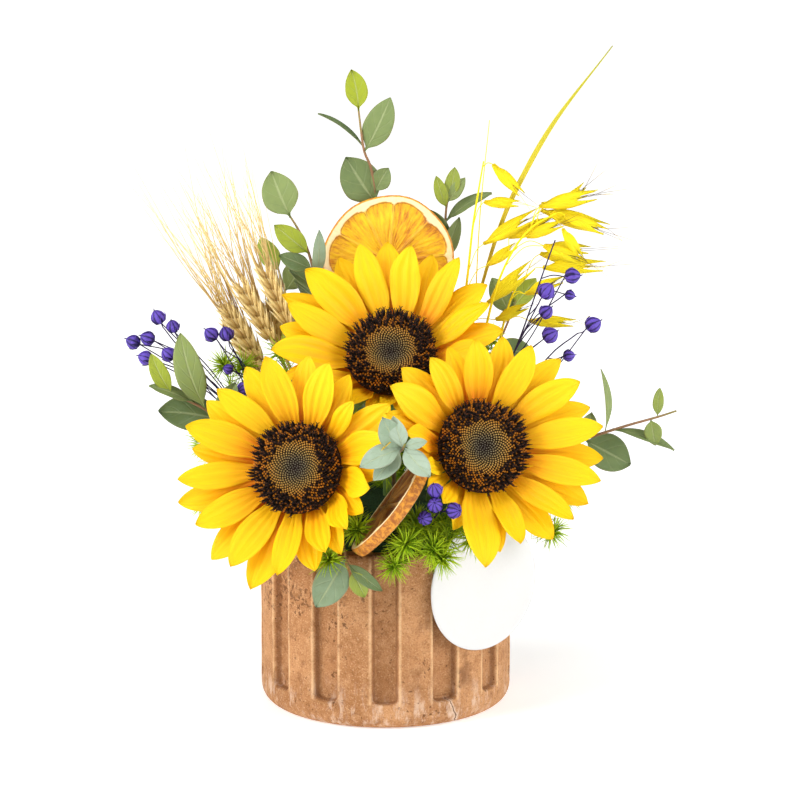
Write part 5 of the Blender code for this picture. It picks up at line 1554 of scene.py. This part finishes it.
def buildFlax(name, leaving, bends, pods, rng):
    route = rooted(leaving, [at(*bend) for bend in bends])
    chains = [tapering(route, flax["wire"], 0.35, 0.4)]
    shape = Shape()
    for foot, spot, size in pods:
        base = nearest(route, foot)
        middle = at(*spot)
        radius = flax["pod"] * size
        axis = (middle - base).normalized()
        aside = axis.orthogonal().normalized() * (middle - base).length * rng.uniform(-0.1, 0.1)
        neck = middle - axis * radius * 0.9
        wire = smoothCurve([base, base.lerp(neck, 0.5) + aside, neck], 4)
        chains.append(tapering(wire, flax["wire"] * 0.62, 0, 0.6))
        addPod(shape, middle, axis, radius, rng)
        # a thin side wire that runs back down beside the stem
        if name != "flax_front":
            low = route[max(1, len(route) // 3)]
            shift = Vector((rng.uniform(-3, 3), rng.uniform(-3, 1), rng.uniform(-6, 6))) * mm
            wire = smoothCurve([low, low.lerp(neck, 0.5) + shift, neck], 5)
            chains.append(tapering(wire, flax["wire"] * 0.66, 0, 0.5))
    keep(stalksOf(name + "_wires", chains, 6, "wire"), "purple_flax", name)
    keep(shape.made(name + "_pods", finishes["pod"]), "purple_flax", name)


rng = random.Random(flax["seed"])
for stem in flaxStems:
    buildFlax(*stem, rng)
print("stage: flax built")

fern = {
    "stem": 0.55 * mm, "needle": 11.0 * mm, "needleThick": 0.28 * mm, "lean": 1.0, "bare": 0.36,
    "perPlume": 230, "tuft": 64, "tuftInside": 30, "tuftReach": 0.95, "tuftThick": 1.15, "seed": 71,
}
# name, where it leaves the foam, and the bends of each branch
fernPlumes = [
    ("fern_front", (14, -37),
     [[(12, -54, 94), (9, -66, 92), (4, -73, 82)], [(14, -56, 98), (13, -68, 99), (9, -78, 93)],
      [(18, -54, 96), (20, -66, 95), (22, -76, 90)]]),
    ("fern_front_right", (24, -35),
     [[(28, -52, 94), (28, -64, 92), (26, -76, 86)], [(33, -50, 96), (37, -60, 96), (40, -70, 94)]]),
    ("fern_front_left", (-24, -32),
     [[(-27, -50, 92), (-26, -62, 90), (-25, -70, 84)], [(-18, -50, 98), (-14, -62, 100), (-12, -70, 98)]]),
    ("fern_right", (38, -20),
     [[(56, -28, 98), (68, -36, 96), (78, -42, 90)], [(56, -26, 104), (70, -32, 108), (84, -36, 106)]]),
    ("fern_left", (-41, -14),
     [[(-60, -18, 104), (-76, -24, 118), (-84, -28, 130)],
      [(-58, -18, 98), (-72, -26, 100), (-84, -34, 102)]]),
    ("fern_upper_left", (-44, 20),
     [[(-62, 22, 116), (-72, 22, 138), (-78, 22, 158)], [(-60, 16, 120), (-66, 10, 140), (-68, 6, 160)]]),
    ("fern_side_right", (44, 2), [[(62, 10, 98), (78, 16, 104), (90, 20, 114)]]),
    ("fern_back", (0, 36),
     [[(0, 50, 110), (-2, 60, 126), (-4, 64, 150)], [(8, 48, 112), (14, 56, 130), (18, 58, 150)]]),
    ("fern_rim_left", (-16, 40),
     [[(-22, 56, 97), (-28, 68, 100), (-32, 76, 110)], [(-10, 58, 98), (-10, 68, 102), (-8, 76, 112)]]),
    ("fern_rim_right", (16, 40),
     [[(22, 56, 97), (28, 68, 100), (34, 76, 110)], [(40, 50, 98), (50, 58, 102), (56, 62, 112)]]),
    ("fern_back_left", (-24, 36),
     [[(-50, 40, 104), (-66, 46, 112), (-80, 48, 124)], [(-40, 50, 100), (-50, 60, 104), (-58, 66, 114)]]),
    ("fern_back_right", (38, 26), [[(56, 36, 102), (70, 42, 110), (84, 42, 124)]]),
]
# darker growth between the flowers, which rides with the plumes beside it
fernInside = [
    ("fern_back", (0, 8),
     [[(-10, 0, 118), (-18, -10, 138), (-20, -18, 152)], [(8, -2, 120), (20, -8, 142), (26, -12, 160)],
      [(0, -16, 112), (-2, -28, 126), (-1, -36, 140)], [(0, 12, 120), (-2, 6, 150), (-4, 4, 172)],
      [(-18, 22, 114), (-22, 28, 130), (-24, 28, 148)], [(-6, 22, 112), (-9, 27, 126), (-11, 28, 146)],
      [(4, 20, 110), (7, 26, 116), (9, 28, 124)], [(10, 22, 112), (16, 28, 128), (20, 28, 150)],
      [(6, -2, 108), (9, -4, 114), (10, -6, 121)]]),
    ("fern_left", (-20, -4),
     [[(-32, -10, 112), (-46, -16, 130), (-52, -16, 150)], [(-28, 6, 120), (-44, 6, 146), (-50, 4, 168)]]),
    ("fern_right", (22, -2),
     [[(36, -8, 114), (54, -14, 136), (62, -14, 156)], [(30, 10, 122), (44, 10, 150), (50, 8, 172)]]),
]


def needleShape():
    shape = Shape()
    length = fern["needle"]
    thick = fern["needleThick"]
    centres = [Vector((0, 0, 0)), Vector((0.04, 0, 0.5)) * length, Vector((0.0, 0, 1)) * length]
    addTube(shape, centres, [thick, thick * 0.9, thick * 0.15], 3)
    return shape.made("needleShape")


def buildFern(piece, node, leaving, branches, seed, tufts):
    chains, spots = [], []
    rng = random.Random(fern["seed"] + seed)
    for branch in branches:
        route = rooted(leaving, [at(*bend) for bend in branch])
        chains.append(tapering(route, fern["stem"], 0.4, 0.5))
        tip, ahead = route[-1], (route[-1] - route[-3]).normalized()
        side = ahead.orthogonal().normalized()
        for place in range(tufts):
            # needles spread evenly over the ball, and few point back along the stem
            level = 1 - 1.72 * (place + 0.5) / tufts
            ring = math.sqrt(1 - level * level)
            turn = place * goldenTurn
            way = ahead * level + (side * math.cos(turn) + ahead.cross(side) * math.sin(turn)) * ring
            way = (way + Vector([rng.uniform(-0.12, 0.12) for _ in range(3)])).normalized()
            size = fern["tuftReach"] * rng.uniform(0.82, 1.08)
            spot = tip - ahead * rng.uniform(0, 2) * mm
            spots.append((spot, way, way.orthogonal(), (fern["tuftThick"], fern["tuftThick"], size)))
    needle = needleShape()
    plume = grown(
        chainsObject(piece + "_plume", chains), plumes, Sides=6, Needles=fern["perPlume"], Needle=needle,
        Lean=fern["lean"], Bare=fern["bare"], Seed=seed, Finish=finishes["fern"],
    )
    tuft = grown(pointsObject(piece + "_tufts", spots), scatter, Shape=needle, Finish=finishes["fern"])
    keep(plume, "fern_green", node)
    keep(tuft, "fern_green", node)
    dropped(needle)


for place, (name, leaving, branches) in enumerate(fernPlumes):
    buildFern(name, name, leaving, branches, 60 + place * 7, fern["tuft"])
for place, (name, leaving, branches) in enumerate(fernInside):
    buildFern(name + "_inside", name, leaving, branches, 160 + place * 7, fern["tuftInside"])
print("stage: fern built")

studio = {
    "floor": 50.0, "brim": 10.0, "room": 0.08, "aim": (0, 0, 0.12), "lens": 116.0,
    "camera": (0.006845, -1.2, 0.37679), "down": 0.1914125,
    # name, place, size and power
    "lamps": [
        ("left", (-1.0, -0.5, 0.62), 0.7, 12), ("right", (1.05, -0.4, 0.55), 0.7, 9.5),
        ("top", (-0.1, -0.35, 1.35), 0.8, 7), ("front", (-0.25, -1.5, 0.9), 1.0, 2),
    ],
}


def buildFloor():
    shape = Shape()
    rows = [
        [shape.add((reach * math.cos(turn), reach * math.sin(turn), level)) for turn in turnsOf(96)]
        for reach, level in ((0.5, 0), (3, 0), (0.96 * studio["floor"], 0), (studio["floor"], studio["brim"]))
    ]
    shape.wrap([row[::-1] for row in rows])
    shape.faces.append(tuple(rows[0]))
    f = Finish("paleFloor", Specular_IOR_Level=0.1, Emission_Strength=1.0)
    cloud = f.grain(f.spot, 6.0, 2.0)
    f.wear(f.blend(cloud, (0.86, 0.86, 0.86), (0.88, 0.88, 0.88)), 0.85 + cloud * 0.1)
    # the far floor glows to white where the lamps no longer reach it
    x, y, _ = f.parts(f.spot)
    glow = f.blend(distance(x, y).rise(0.1, 1.1), (0.48, 0.48, 0.48), (0.97, 0.97, 0.97))
    f.tree.links.new(glow.socket, f.skin.inputs["Emission Color"])
    shape.made("floor", f.material)


def buildLights():
    for name, place, size, power in studio["lamps"]:
        light = bpy.data.lights.new(name, "AREA")
        light.energy = power
        light.size = size
        lamp = shown(name, light)
        lamp.location = place
        aim = Vector(studio["aim"]) - Vector(place)
        lamp.rotation_euler = aim.to_track_quat("-Z", "Y").to_euler()
    world = bpy.data.worlds.new("studioRoom")
    world.use_nodes = True
    world.node_tree.nodes["Background"].inputs["Color"].default_value = (1, 1, 1, 1)
    world.node_tree.nodes["Background"].inputs["Strength"].default_value = studio["room"]
    bpy.context.scene.world = world
    bpy.context.scene.view_settings.view_transform = "Standard"


def buildCamera():
    lens = bpy.data.cameras.new("camera")
    lens.lens = studio["lens"]
    lens.sensor_width = 36.0
    camera = shown("camera", lens)
    camera.location = studio["camera"]
    camera.rotation_euler = (math.pi / 2 - studio["down"], 0, 0)
    bpy.context.scene.camera = camera


buildFloor()
buildLights()
buildCamera()
print("stage: studio built")

bpy.context.view_layer.update()
